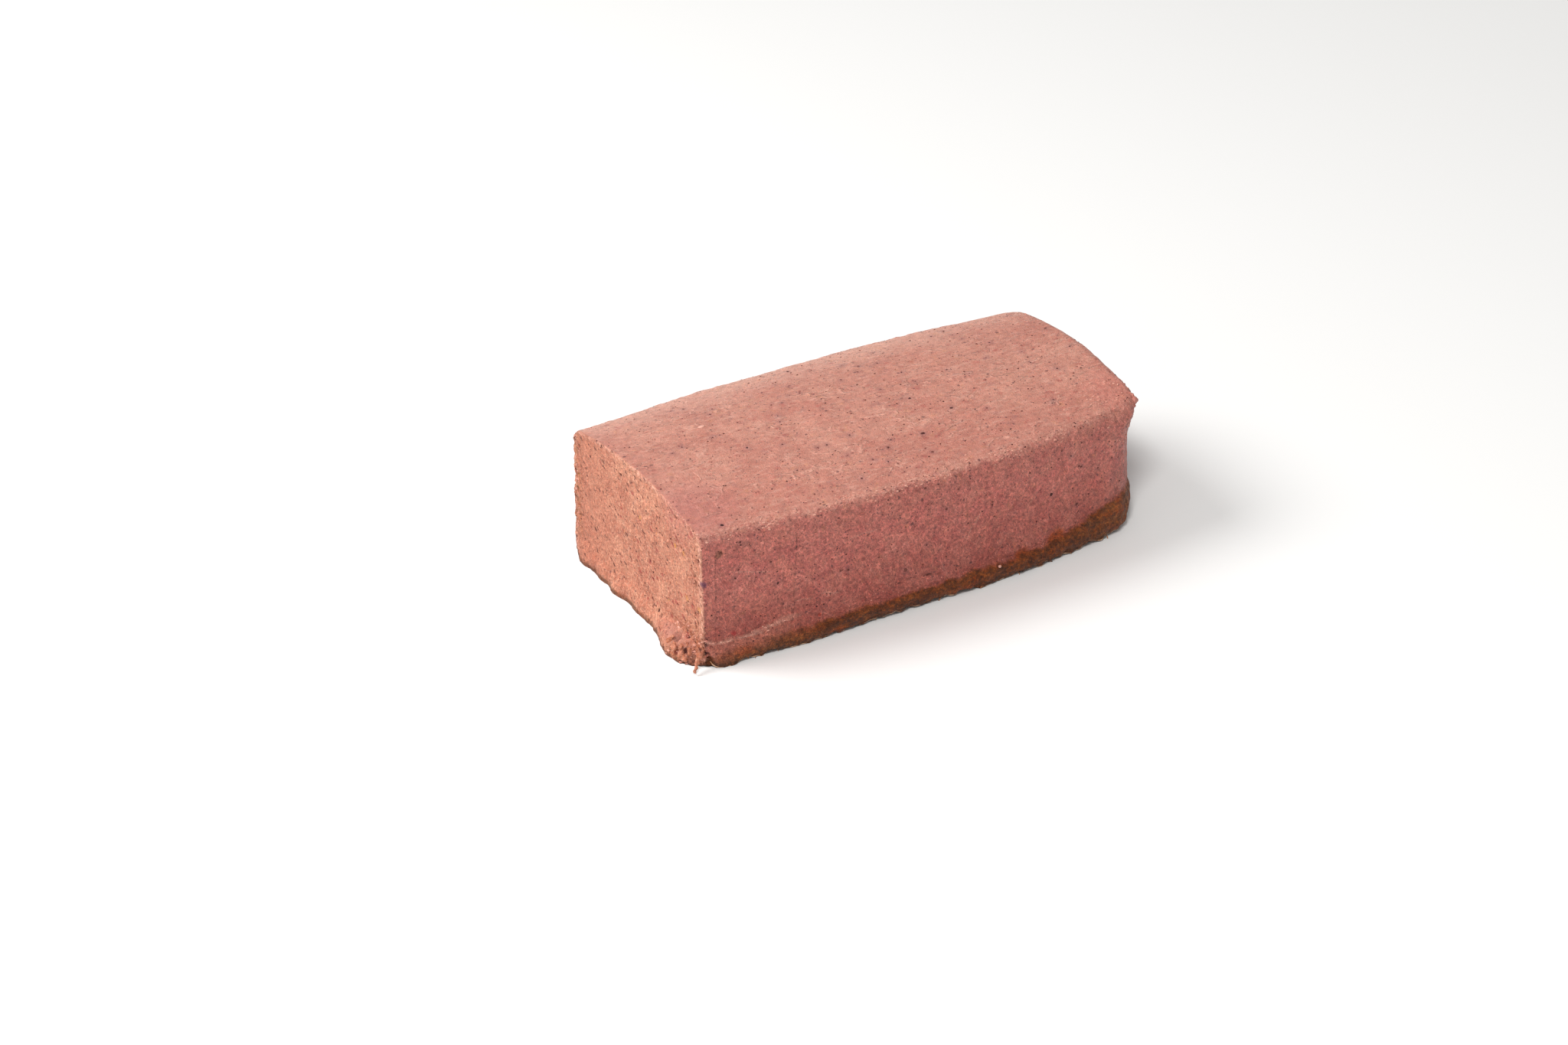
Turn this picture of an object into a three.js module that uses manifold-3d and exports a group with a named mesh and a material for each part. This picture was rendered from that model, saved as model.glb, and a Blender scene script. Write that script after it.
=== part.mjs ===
// A loaf of game pate with its first slices gone: one solid, in millimetres, +Z up.
//
// The loaf was baked in an oblong tin and turned out upside down. Its smooth crowned top is
// the bottom of the tin, its sides flare a little towards the base, and the browned crust that
// was the open top is now underneath. X runs along the loaf, from the flat cut face at -X to
// the rounded end at +X. The origin is the middle of the underside, on the surface below it.

import * as THREE from 'three';
import { mergeVertices } from 'three/addons/utils/BufferGeometryUtils.js';
import { ImprovedNoise } from 'three/addons/math/ImprovedNoise.js';
import Module from 'manifold-3d';

const { clamp, degToRad, lerp, smoothstep } = THREE.MathUtils;

// Size of the whole loaf
const LENGTH = 246;
const HALF_WIDTH = 64.3;        // at the shoulders, where the loaf is widest
const WIDEST_AT = 0.45;         // share of the length from the cut
const BARREL = 7.6;             // width lost on each side, half a length away from the widest
const FLARE = 2.3;              // each side leans out this much from shoulder to base
const SHOULDER_AT_CUT = 68.5;
const SHOULDER_AT_END = 66.8;
const SHOULDER_SAG = 1.4;       // the shoulder line dips between the two
const CROWN = 7.4;              // rise of the top above the shoulders
const CUT_SKEW = degToRad(-1.2);

// Rounding of its edges
const SHOULDER_RADIUS = 6.4;
const SHOULDER_RADIUS_END = 7.5;
const END_CORNER_TOP = 12;      // upright corners of the rounded end, at the shoulders
const END_CORNER_BASE = 23;     // and lower down
const END_TOP_RADIUS = 5;
const BASE_INSET = 6;           // the crust curls under over this width
const BASE_RISE = 8;            // and this height

// Crust, which stands out from the sides like a rolled ledge
const CRUST_HEIGHT = 9;
const CRUST_HEIGHT_END = 20;
const CRUST_PROUD = 1.7;
const CRUST_PROUD_END = 1.3;
const CRUST_LUMP = 0.8;
const CRUST_LUMP_LENGTH = 11;
const CRUST_WAVE = 0.7;
const CRUST_WAVE_LENGTH = 130;
const CRUST_WAVE_START = 140;
const LEDGE_PROUD = 0.7;        // the paste above the crust stands out too, near the cut
const LEDGE_RISE = 5.5;
const LEDGE_END = 0.3;          // share of the length where it dies out

// Flap of crust pushed out by the cut, on the -Y side
const FLAP_PROUD = 3.4;
const FLAP_AT = 10;
const FLAP_LENGTH = 8;
const FLAP_HEIGHT = 8;

// Foot of the cut, where the crust tore off further out than the knife went
const TOE_REACH = 8;            // near the -Y corner
const TOE_REACH_BEYOND = 2.5;   // and along the rest of the cut
const TOE_FADE_FROM = 44;       // distance from the middle where it starts to fall away
const TOE_FADE_TO = 14;
const TOE_THICKNESS = 4;
const TOE_HEIGHT = 13;
const TOE_SHORT_OF_SIDE = 9;
const TOE_RAGGED = 1.6;

// Unevenness of the paste
const SWELL = 0.55;
const SWELL_LENGTH = 34;
const DIMPLE = 0.3;
const DIMPLE_LENGTH = 13;
const CUT_WAVE = 0.35;          // the knife's drag on the cut face
const CUT_WAVE_LENGTH = 26;

// Crumbly lip under the shoulder of the rounded end
const LIP_PROUD = 1.4;
const LIP_DROP = 6;             // below the shoulder line
const LIP_BAND = 7;

// Torn corner at the foot of the cut, on the -Y side
const TEAR_DEPTH = 2.2;
const TEAR_REACH = 15;

// Mesh steps
const STEPS_LONG = 46;
const STEPS_WIDE = 26;
const STEPS_HIGH = 14;
const STEPS_END_CORNER = 7;
const EDGE_CROWDING = 0.55;     // how far the steps crowd towards the edges
const SMALLEST_STEP = 0.02;     // joins leave no step finer than this

const noise = new ImprovedNoise();

function seededRandom(seed) {
  let state = seed;
  return () => {
    state = (state * 16807) % 2147483647;
    return state / 2147483647;
  };
}

// Outline of the loaf, from the share t of its length, 0 at the cut and 1 at the end.
function halfWidth(t) {
  return HALF_WIDTH - BARREL * ((t - WIDEST_AT) / 0.5) ** 2;
}

function shoulderHeight(t) {
  const dip = SHOULDER_SAG * (1 - (2 * t - 1) ** 2);
  return lerp(SHOULDER_AT_CUT, SHOULDER_AT_END, t) - dip;
}

function crustHeight(t) {
  const ripple = 1.1 * Math.sin(9 * t) + 0.6 * Math.sin(23 * t + 1);
  return lerp(CRUST_HEIGHT, CRUST_HEIGHT_END, smoothstep(t, 0.72, 0.95)) + ripple;
}

function endCornerRadius(heightShare) {
  return lerp(END_CORNER_BASE, END_CORNER_TOP, smoothstep(heightShare, 0.66, 0.92));
}

// How far the foot of the cut reaches out past the knife's plane.
function toe(x, y, z) {
  const inFromSide = halfWidth(0) - Math.abs(y);
  const across = smoothstep(inFromSide, -1, TOE_SHORT_OF_SIDE);
  const reach = lerp(TOE_REACH_BEYOND, TOE_REACH, smoothstep(-y, TOE_FADE_TO, TOE_FADE_FROM));
  const ragged = TOE_RAGGED * noise.noise(y / 5, 0.5, z / 9);
  const low = 1 - smoothstep(z, TOE_THICKNESS, TOE_HEIGHT);
  return (reach + ragged) * across * low * (1 - smoothstep(x, 0, 30));
}

// Steps crowd towards -1 and 1, where the edges are rounded.
function crowded(s) {
  return lerp(s, Math.sin(s * Math.PI / 2), EDGE_CROWDING);
}

// Point of the rounded cross-section for a point (v, w) on the rim of the square -1..1.
function sectionRim(v, w, halfY, height, shoulderRadius) {
  const inset = w > 0 ? shoulderRadius : BASE_INSET;
  const rise = w > 0 ? shoulderRadius : BASE_RISE;
  const boxY = v * halfY;
  const boxZ = (w + 1) / 2 * height;
  const coreY = clamp(boxY, inset - halfY, halfY - inset);
  const coreZ = clamp(boxZ, BASE_RISE, height - shoulderRadius);
  const outY = (boxY - coreY) / inset;
  const outZ = (boxZ - coreZ) / rise;
  const out = Math.hypot(outY, outZ);
  return [coreY + inset * outY / out, coreZ + rise * outZ / out];
}

// Any point of the square: the rim point drawn in towards the middle of the section.
function sectionPoint(v, w, halfY, height, shoulderRadius) {
  const reach = Math.max(Math.abs(v), Math.abs(w));
  if (reach === 0) return [0, height / 2];
  const rimV = crowded(v / reach);
  const rimW = crowded(w / reach);
  const [y, z] = sectionRim(rimV, rimW, halfY, height, shoulderRadius);
  return [y * reach, lerp(height / 2, z, reach)];
}

// Share of an arc of the given radius lost before it reaches the plane at `distance` from it.
function arcLoss(distance, radius) {
  const along = clamp(1 - distance / radius, 0, 1);
  return radius * (1 - Math.sqrt(1 - along * along));
}

// Place of the point (u, v, w) of the cube -1..1 on or in the smooth loaf, cut face at x = 0.
function loafPoint(u, v, w) {
  const share = (u + 1) / 2;
  const cornerShare = STEPS_END_CORNER / STEPS_LONG;
  const straight = clamp(share / (1 - cornerShare), 0, 1);
  const round = clamp((share - 1 + cornerShare) / cornerShare, 0, 1);
  const radius = endCornerRadius((w + 1) / 2);
  const eased = lerp(straight, (1 - Math.cos(straight * Math.PI)) / 2, 0.35);
  const x = (LENGTH - radius) * eased + radius * Math.sin(round * Math.PI / 2);
  const t = x / LENGTH;

  const half = halfWidth(t);
  const height = shoulderHeight(t);
  const shoulderRadius = lerp(SHOULDER_RADIUS, SHOULDER_RADIUS_END, smoothstep(t, 0.7, 1));
  let [y, z] = sectionPoint(v, w, half, height, shoulderRadius);
  const across = y / half;
  const up = z / height;
  z += CROWN * (1 - across * across) * up * up;
  y *= 1 + FLARE * (1 - up) / half;

  const fromEnd = LENGTH - x;
  y *= 1 - arcLoss(fromEnd, radius) / half;
  z -= arcLoss(fromEnd, END_TOP_RADIUS) * up;
  z += arcLoss(fromEnd, BASE_INSET) * (BASE_RISE / BASE_INSET) * (1 - up);
  const skewed = x + (1 - t) * y * Math.tan(CUT_SKEW);
  return new THREE.Vector3(skewed - toe(x, y, z), y, z);
}

function smoothLoaf() {
  const geometry = new THREE.BoxGeometry(2, 2, 2, STEPS_LONG, STEPS_WIDE, STEPS_HIGH);
  const place = geometry.attributes.position;
  for (let i = 0; i < place.count; i += 1) {
    const point = loafPoint(place.getX(i), place.getY(i), place.getZ(i));
    place.setXYZ(i, point.x, point.y, point.z);
  }
  geometry.deleteAttribute('normal');
  geometry.deleteAttribute('uv');
  return mergeVertices(geometry, 0.01);
}

function lumps(point, length, seed) {
  return noise.noise(point.x / length + seed, point.y / length, point.z / length);
}

// How far the rolled crust and the ledge above it stand out from the sides.
function rindRelief(point, t) {
  const wave = CRUST_WAVE * Math.sin(2 * Math.PI * (point.x - CRUST_WAVE_START) / CRUST_WAVE_LENGTH);
  const rolled = lerp(CRUST_PROUD + wave, CRUST_PROUD_END, smoothstep(t, 0.8, 0.95));
  const flapShape = Math.exp(-(((point.x - FLAP_AT) / FLAP_LENGTH) ** 2));
  const flapSide = smoothstep(-point.y, 45, 55) * (1 - smoothstep(point.z, 0, FLAP_HEIGHT));
  const flap = FLAP_PROUD * flapShape * flapSide;
  return rolled + flap + CRUST_LUMP * lumps(point, CRUST_LUMP_LENGTH, 1.3);
}

function ledgeRelief(point, t) {
  const top = crustHeight(t) + LEDGE_RISE * (1 - t / LEDGE_END);
  return LEDGE_PROUD * (1 - smoothstep(t, 0, LEDGE_END)) * (1 - smoothstep(point.z - top, -1.5, 1));
}

// How far the surface at a point stands out from the smooth loaf.
function relief(point, normal) {
  const t = clamp(point.x / LENGTH, 0, 1);
  const underside = smoothstep(-normal.z, 0.6, 0.98);
  const cutFace = smoothstep(-normal.x, 0.4, 0.9);
  const aboveCrust = point.z - crustHeight(t);
  const crust = (1 - smoothstep(aboveCrust, -1.5, 1)) * (1 - cutFace);

  const paste = SWELL * lumps(point, SWELL_LENGTH, 3.7) + DIMPLE * lumps(point, DIMPLE_LENGTH, 8.1);
  const knife = CUT_WAVE * lumps(point, CUT_WAVE_LENGTH, 5.9);
  const lipHeight = shoulderHeight(t) - LIP_DROP - point.z;
  const lip = LIP_PROUD * Math.exp(-((lipHeight / LIP_BAND) ** 2)) * smoothstep(t, 0.93, 1)
    * (1 - smoothstep(Math.abs(normal.z), 0.3, 0.9));
  const outside = lerp(paste + ledgeRelief(point, t), rindRelief(point, t), crust) + lip;
  return lerp(outside, knife, cutFace) * (1 - underside);
}

function tear(point) {
  const foot = new THREE.Vector3(0, -halfWidth(0) - FLARE, 0);
  const near = 1 - smoothstep(point.distanceTo(foot), 0, TEAR_REACH);
  const ragged = 0.55 + lumps(point, 4, 2.2);
  return TEAR_DEPTH * near * ragged;
}

function roughLoaf() {
  const geometry = smoothLoaf();
  geometry.computeVertexNormals();
  const place = geometry.attributes.position;
  const normals = geometry.attributes.normal;
  const point = new THREE.Vector3();
  const normal = new THREE.Vector3();
  for (let i = 0; i < place.count; i += 1) {
    point.fromBufferAttribute(place, i);
    normal.fromBufferAttribute(normals, i);
    const out = relief(point, normal) - tear(point) * (1 - smoothstep(-normal.z, 0.6, 0.98));
    point.addScaledVector(normal, out);
    place.setXYZ(i, point.x, point.y, Math.max(point.z, 0));
  }
  geometry.deleteAttribute('normal');
  return geometry;
}

// A crumb: a knobbly lump with the given half sizes, turned about Z and then tipped.
function crumb(at, half, turn, tip, random) {
  const geometry = mergeVertices(bare(new THREE.IcosahedronGeometry(1, 0)), 1e-4);
  const place = geometry.attributes.position;
  const turned = new THREE.Euler(0, tip, turn, 'ZYX');
  const point = new THREE.Vector3();
  for (let i = 0; i < place.count; i += 1) {
    point.fromBufferAttribute(place, i);
    point.multiplyScalar(0.85 + 0.3 * random()).multiply(half).applyEuler(turned).add(at);
    place.setXYZ(i, point.x, point.y, Math.max(point.z, 0.05));
  }
  return geometry;
}

function bare(geometry) {
  geometry.deleteAttribute('normal');
  geometry.deleteAttribute('uv');
  return geometry;
}

// The point of the smooth loaf under a place on one of its long sides or its end.
function onSide(side, t, heightShare) {
  if (side === 'end') return loafPoint(1, lerp(-0.9, 0.9, t), heightShare * 2 - 1);
  return loafPoint(lerp(-0.97, 0.8, t), side === 'near' ? -1 : 1, heightShare * 2 - 1);
}

// Shreds that hang from the lower edge of the crust, all the way round but for the cut.
function crustShreds(random) {
  const edges = [
    { side: 'near', count: 13, turn: 0, out: new THREE.Vector3(0, -CRUST_PROUD, 0) },
    { side: 'far', count: 11, turn: 0, out: new THREE.Vector3(0, CRUST_PROUD, 0) },
    { side: 'end', count: 6, turn: Math.PI / 2, out: new THREE.Vector3(CRUST_PROUD_END, 0, 0) },
  ];
  const shreds = [];
  for (const { side, count, turn, out } of edges) {
    for (let i = 0; i < count; i += 1) {
      const at = onSide(side, (i + 0.2 + 0.6 * random()) / count, 0.03 + 0.04 * random());
      const half = new THREE.Vector3(2.4 + 2.2 * random(), 1.5, 1 + 0.6 * random());
      const heading = turn + 0.5 * (random() - 0.5);
      shreds.push(crumb(at.add(out), half, heading, 0.3 * (random() - 0.5), random));
    }
  }
  return shreds;
}

// Crumbs raised where the rounded end left the tin, thickest at its -Y corner.
function shoulderCrumbs(random) {
  const crumbs = [];
  const count = 9;
  for (let i = 0; i < count; i += 1) {
    const v = lerp(-1, 0.75, (i / (count - 1)) ** 1.6);
    const at = loafPoint(0.99, v, 0.84 + 0.08 * random());
    const half = new THREE.Vector3(2.8 + random(), 2.6 + 1.4 * random(), 1.8 + random());
    crumbs.push(crumb(at, half, 3 * random(), 0.6 * random(), random));
  }
  return crumbs;
}

// The crumb that sticks out furthest, from the -Y corner of the rounded end.
function cornerSpur(random) {
  const at = loafPoint(0.93, -1, 0.7).add(new THREE.Vector3(0.6, -0.6, 0));
  return crumb(at, new THREE.Vector3(3.4, 2.2, 1.9), degToRad(-28), degToRad(-12), random);
}

// Paste pulled down by the knife at the torn foot of the cut, with one shred to the surface.
function tornCrumbs(random) {
  const foot = new THREE.Vector3(-3.2, -halfWidth(0) - FLARE + 1, 3.6);
  const crumbs = [crumb(foot, new THREE.Vector3(2.2, 2.4, 3.5), 0.9, 0.2, random)];
  for (let i = 0; i < 7; i += 1) {
    const at = loafPoint(-1, lerp(-0.98, -0.62, random()), lerp(-0.97, -0.6, random()));
    const half = new THREE.Vector3(1.5 + 0.6 * random(), 1.8 + random(), 1.4 + random());
    crumbs.push(crumb(at, half, 3 * random(), random(), random));
  }
  return crumbs;
}

function tornPits(random) {
  const edge = -halfWidth(0) - FLARE;
  const places = [[0.4, edge - 0.4, 13.6], [-1.6, edge + 1.6, 7.4], [-5.4, edge + 8, 7.2]];
  const half = new THREE.Vector3(1.9, 1.6, 1.3);
  return places.map(([x, y, z]) => crumb(new THREE.Vector3(x, y, z), half, 1, 0.4, random));
}

const wasm = await Module();
wasm.setup();

function solid(geometry) {
  return new wasm.Manifold(new wasm.Mesh({
    numProp: 3,
    vertProperties: new Float32Array(geometry.attributes.position.array),
    triVerts: new Uint32Array(geometry.index.array),
  }));
}

// The loaf with its crumbs joined on and its pits cut, as one geometry with no loose scraps.
function joinedLoaf() {
  const random = seededRandom(41);
  let loaf = solid(roughLoaf());
  const crumbs = [
    ...crustShreds(random),
    ...shoulderCrumbs(random),
    cornerSpur(random),
    ...tornCrumbs(random),
  ];
  for (const piece of crumbs) loaf = loaf.add(solid(piece));
  for (const pit of tornPits(random)) loaf = loaf.subtract(solid(pit));
  const [whole] = loaf.decompose().sort((a, b) => b.volume() - a.volume());
  const mesh = whole.simplify(SMALLEST_STEP).getMesh();
  const geometry = new THREE.BufferGeometry();
  geometry.setAttribute('position', new THREE.BufferAttribute(mesh.vertProperties, 3));
  geometry.setIndex(new THREE.BufferAttribute(mesh.triVerts, 1));
  return geometry;
}

// Move the middle of the underside's box to the origin.
function centred(geometry) {
  geometry.computeBoundingBox();
  const { min, max } = geometry.boundingBox;
  geometry.translate(-(min.x + max.x) / 2, -(min.y + max.y) / 2, -min.z);
  geometry.computeVertexNormals();
  return geometry;
}

const paste = new THREE.MeshStandardMaterial({ color: 0xc47f72, roughness: 0.6, metalness: 0 });

const loaf = new THREE.Mesh(centred(joinedLoaf()), paste);
loaf.name = 'pate_loaf';

const group = new THREE.Group();
group.add(loaf);

export default group;
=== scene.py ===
# %% [markdown]
# # A loaf of game pate, cut open
#
# The real thing is a fine-ground meat loaf, baked in an oblong tin and turned out upside
# down. Its top is smooth where it lay on the tin, its sides are matt, the cut end is dry
# and porous, and a browned crust is left underneath. This script dresses the plain solid
# of the loaf: one fine skin for the paste and its crust, and small pieces for the pepper,
# crumbs and shreds that lie on it.

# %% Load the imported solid
import math
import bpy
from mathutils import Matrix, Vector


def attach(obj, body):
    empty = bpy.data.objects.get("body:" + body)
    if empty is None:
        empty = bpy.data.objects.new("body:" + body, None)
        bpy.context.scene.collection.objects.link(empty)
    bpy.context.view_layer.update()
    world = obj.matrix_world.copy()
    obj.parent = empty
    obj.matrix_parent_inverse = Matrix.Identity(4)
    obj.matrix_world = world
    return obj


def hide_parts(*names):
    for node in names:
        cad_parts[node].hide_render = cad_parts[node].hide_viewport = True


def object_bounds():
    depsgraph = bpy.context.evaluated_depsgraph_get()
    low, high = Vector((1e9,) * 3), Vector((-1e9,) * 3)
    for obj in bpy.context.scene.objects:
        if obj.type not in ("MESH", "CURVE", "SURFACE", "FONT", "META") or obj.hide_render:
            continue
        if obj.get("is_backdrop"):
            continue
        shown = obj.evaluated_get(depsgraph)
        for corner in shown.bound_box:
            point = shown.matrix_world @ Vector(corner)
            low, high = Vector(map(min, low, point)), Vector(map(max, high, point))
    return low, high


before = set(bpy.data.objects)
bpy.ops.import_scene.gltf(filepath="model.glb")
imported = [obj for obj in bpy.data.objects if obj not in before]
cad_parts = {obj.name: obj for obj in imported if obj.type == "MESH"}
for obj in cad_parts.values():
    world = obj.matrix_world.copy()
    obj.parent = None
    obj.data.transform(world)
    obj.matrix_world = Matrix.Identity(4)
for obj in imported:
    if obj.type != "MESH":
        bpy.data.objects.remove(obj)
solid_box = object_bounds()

from types import SimpleNamespace

import bmesh
import bpy
import numpy as np
from mathutils import Matrix, Vector, noise
from mathutils.bvhtree import BVHTree

print("solid box", solid_box)

# %% [markdown]
# ## The camera
#
# The picture was taken from above the near corner of the cut, with a long lens. A camera
# could be aimed with a Track To constraint, but a constraint can't give the small roll
# that a hand-held camera has, so its three axes are worked out from heading, pitch and
# roll.

# %% Camera
CAMERA_PLACE = Vector((-0.87528, -1.42530, 1.03228))
CAMERA_HEADING = math.radians(-30.327)
CAMERA_PITCH = math.radians(31.444)
CAMERA_ROLL = math.radians(0.270)
CAMERA_LENS = 94.056
CAMERA_SENSOR = 36.0


def new_object(name, data):
    """An object that shows this data, linked into the scene."""
    obj = bpy.data.objects.new(name, data)
    bpy.context.scene.collection.objects.link(obj)
    return obj


ahead = Vector((-math.sin(CAMERA_HEADING), math.cos(CAMERA_HEADING), 0))
aside = Vector((math.cos(CAMERA_HEADING), math.sin(CAMERA_HEADING), 0))
up = Vector((0, 0, 1))
look = ahead * math.cos(CAMERA_PITCH) - up * math.sin(CAMERA_PITCH)
down = -ahead * math.sin(CAMERA_PITCH) - up * math.cos(CAMERA_PITCH)
right = aside * math.cos(CAMERA_ROLL) + down * math.sin(CAMERA_ROLL)
down = down * math.cos(CAMERA_ROLL) - aside * math.sin(CAMERA_ROLL)

camera_data = bpy.data.cameras.new("camera")
camera_data.lens = CAMERA_LENS
camera_data.sensor_width = CAMERA_SENSOR
camera_data.sensor_fit = "HORIZONTAL"
camera = new_object("camera", camera_data)
turn = Matrix((right, -down, -look)).transposed().to_4x4()
camera.matrix_world = Matrix.Translation(CAMERA_PLACE) @ turn
bpy.context.scene.camera = camera
print("camera looks along", tuple(round(c, 3) for c in look))

# %% [markdown]
# ## The rule of the loaf
#
# The loaf has no flat sides, but its shape still follows a rule: a width and a height
# along the length, a crown across the top, and a radius for each edge. The rule works on
# whole arrays of points at once, in millimetres, with x = 0 at the cut and y = 0 in the
# middle. A sculpted mesh could look the same, but a rule keeps the skin on the solid.

# %% Sizes of the loaf
LENGTH = 246.0
HALF_WIDTH = 64.3
WIDEST_AT = 0.45
BARREL = 7.6
FLARE = 2.3
SHOULDER_AT_CUT = 68.5
SHOULDER_AT_END = 66.8
SHOULDER_SAG = 1.4
CROWN = 7.4
CUT_SKEW = math.radians(-1.2)
SHOULDER_RADIUS = 6.4
SHOULDER_RADIUS_END = 7.5
END_CORNER_TOP = 12.0
END_CORNER_BASE = 23.0
END_TOP_RADIUS = 5.0
BASE_INSET = 6.0
BASE_RISE = 8.0
CRUST_AT_CUT = 4.0            # the crust's upper edge, and how much it climbs farther on
CRUST_PAST_CUT = 8.0
CRUST_MIDDLE_RISE = 2.6
CRUST_END_RISE = 10.0
CUT_FROM_MIDDLE = 120.20      # the cut lies this far from the middle of the whole solid


def lerp(low, high, share):
    return low + (high - low) * share


def smoothstep(value, low, high):
    share = np.clip((value - low) / (high - low), 0, 1)
    return share * share * (3 - 2 * share)


def half_width(t):
    return HALF_WIDTH - BARREL * ((t - WIDEST_AT) / 0.5) ** 2


def shoulder_height(t):
    return lerp(SHOULDER_AT_CUT, SHOULDER_AT_END, t) - SHOULDER_SAG * (1 - (2 * t - 1) ** 2)


def crust_height(t):
    near_cut = lerp(CRUST_AT_CUT, CRUST_PAST_CUT, smoothstep(t, 0, 0.12))
    middle = CRUST_MIDDLE_RISE * smoothstep(t, 0.24, 0.4)
    end = CRUST_END_RISE * smoothstep(t, 0.76, 0.96)
    ripple = 0.5 * np.sin(9 * t) + 0.5 * np.sin(23 * t + 1)
    return near_cut + middle + end + ripple


def lumps(places, length, seed):
    """Perlin noise at each place, with lumps of about that length in mm."""
    scaled = (places / length + seed).tolist()
    return np.array([noise.noise(place) for place in scaled])


# %% Foot of the cut, where the crust tore off past the knife
TOE_REACH = 8.0
TOE_REACH_BEYOND = 2.5
TOE_RAGGED = 1.6


def toe(x, y, z):
    across = smoothstep(half_width(0) - np.abs(y), -1, 9)
    reach = lerp(TOE_REACH_BEYOND, TOE_REACH, smoothstep(-y, 14, 44))
    ragged = TOE_RAGGED * lumps(np.stack([y / 11, 0 * y, z / 14], -1), 1, 0.5)
    ragged = ragged + 0.5 * lumps(np.stack([y / 3.1, 0 * y, z / 5], -1), 1, 4.5)
    low = 1 - smoothstep(z, 4, 13)
    return (reach + ragged) * across * low * (1 - smoothstep(x, 0, 30))


# %% Section and length
CORNER_SHARE = 0.11           # share of the steps along the loaf that round its far end
EDGE_CROWDING = 0.55


def arc_loss(distance, radius):
    along = np.clip(1 - distance / radius, 0, 1)
    return radius * (1 - np.sqrt(1 - along * along))


def crowded(s):
    return lerp(s, np.sin(s * np.pi / 2), EDGE_CROWDING)


def section_place(v, w, half, height, shoulder_radius):
    """Place in the rounded section for a point of the square -1..1."""
    reach = np.maximum(np.maximum(np.abs(v), np.abs(w)), 1e-9)
    rim_v = crowded(v / reach)
    rim_w = crowded(w / reach)
    inset = np.where(rim_w > 0, shoulder_radius, BASE_INSET)
    rise = np.where(rim_w > 0, shoulder_radius, BASE_RISE)
    box_y = rim_v * half
    box_z = (rim_w + 1) / 2 * height
    core_y = np.clip(box_y, inset - half, half - inset)
    core_z = np.clip(box_z, BASE_RISE, height - shoulder_radius)
    out_y = (box_y - core_y) / inset
    out_z = (box_z - core_z) / rise
    out = np.maximum(np.hypot(out_y, out_z), 1e-9)
    y = core_y + inset * out_y / out
    z = core_z + rise * out_z / out
    return y * reach, lerp(height / 2, z, reach)


def loaf_place(u, v, w):
    """Place on or in the smooth loaf for points of the cube -1..1."""
    share = (u + 1) / 2
    straight = np.clip(share / (1 - CORNER_SHARE), 0, 1)
    rounded = np.clip((share - 1 + CORNER_SHARE) / CORNER_SHARE, 0, 1)
    corner = lerp(END_CORNER_BASE, END_CORNER_TOP, smoothstep((w + 1) / 2, 0.66, 0.92))
    eased = lerp(straight, (1 - np.cos(straight * np.pi)) / 2, 0.35)
    x = (LENGTH - corner) * eased + corner * np.sin(rounded * np.pi / 2)
    t = x / LENGTH
    half = half_width(t)
    height = shoulder_height(t)
    shoulder = lerp(SHOULDER_RADIUS, SHOULDER_RADIUS_END, smoothstep(t, 0.7, 1))
    y, z = section_place(v, w, half, height, shoulder)
    up_share = z / height
    z = z + CROWN * (1 - (y / half) ** 2) * up_share ** 2
    y = y * (1 + FLARE * (1 - z / height) / half)
    from_end = LENGTH - x
    up_share = z / height
    y = y * (1 - arc_loss(from_end, corner) / half)
    z = z - arc_loss(from_end, END_TOP_RADIUS) * up_share
    z = z + arc_loss(from_end, BASE_INSET) * (BASE_RISE / BASE_INSET) * (1 - up_share)
    skewed = x + (1 - t) * y * math.tan(CUT_SKEW)
    return np.stack([skewed - toe(x, y, z), y, z], -1)


# %% [markdown]
# ## A fine skin of square faces
#
# The cut face needs steps of about half a millimetre for its pores, the rest only about
# one. A modifier such as Subdivision Surface makes every face finer alike and wastes most
# of them, so the skin is a cube of faces whose six sides each have a step of their own. A
# face at a border takes in the points of its finer neighbour, so no gap opens.

# %% Lattice of a cube, and the loaf it becomes
STEPS_LONG = 232
STEPS_WIDE = 208
STEPS_HIGH = 132
SIDE_STEPS = {                # step along the length, the width and the height
    (0, 0): (1, 1, 1),        # the cut face
    (0, 1): (1, 2, 2),        # the rounded end
    (1, 0): (1, 2, 2),        # the near side
    (1, 1): (1, 2, 2),        # the far side
    (2, 0): (2, 4, 4),        # the underside
    (2, 1): (1, 2, 2),        # the top
}


def cube_skin(counts, side_steps):
    """Points of a cube lattice's surface, and faces over them, as indices."""
    index = {}

    def corner(place):
        return index.setdefault(tuple(place), len(index))

    def along(start, end, axis, step):
        direction = 1 if end[axis] > start[axis] else -1
        for at in range(start[axis], end[axis], direction * step):
            place = list(start)
            place[axis] = at
            yield corner(place)

    faces = []
    for (axis, side), steps in side_steps.items():
        b, c = (axis + 1) % 3, (axis + 2) % 3
        for at_b in range(0, counts[b], steps[b]):
            for at_c in range(0, counts[c], steps[c]):
                ring = []
                for add_b, add_c in ((0, 0), (1, 0), (1, 1), (0, 1)):
                    place = [0, 0, 0]
                    place[axis] = side * counts[axis]
                    place[b] = at_b + add_b * steps[b]
                    place[c] = at_c + add_c * steps[c]
                    ring.append(place)
                face = []
                for start, end in zip(ring, ring[1:] + ring[:1]):
                    run = b if start[b] != end[b] else c
                    across = c if run == b else b
                    step = steps[run]
                    if start[across] in (0, counts[across]):
                        beside = side_steps[(across, int(start[across] > 0))]
                        step = min(step, beside[run])
                    face.extend(along(start, end, run, step))
                faces.append(face if side else face[::-1])
    return np.array(list(index)), faces


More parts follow.
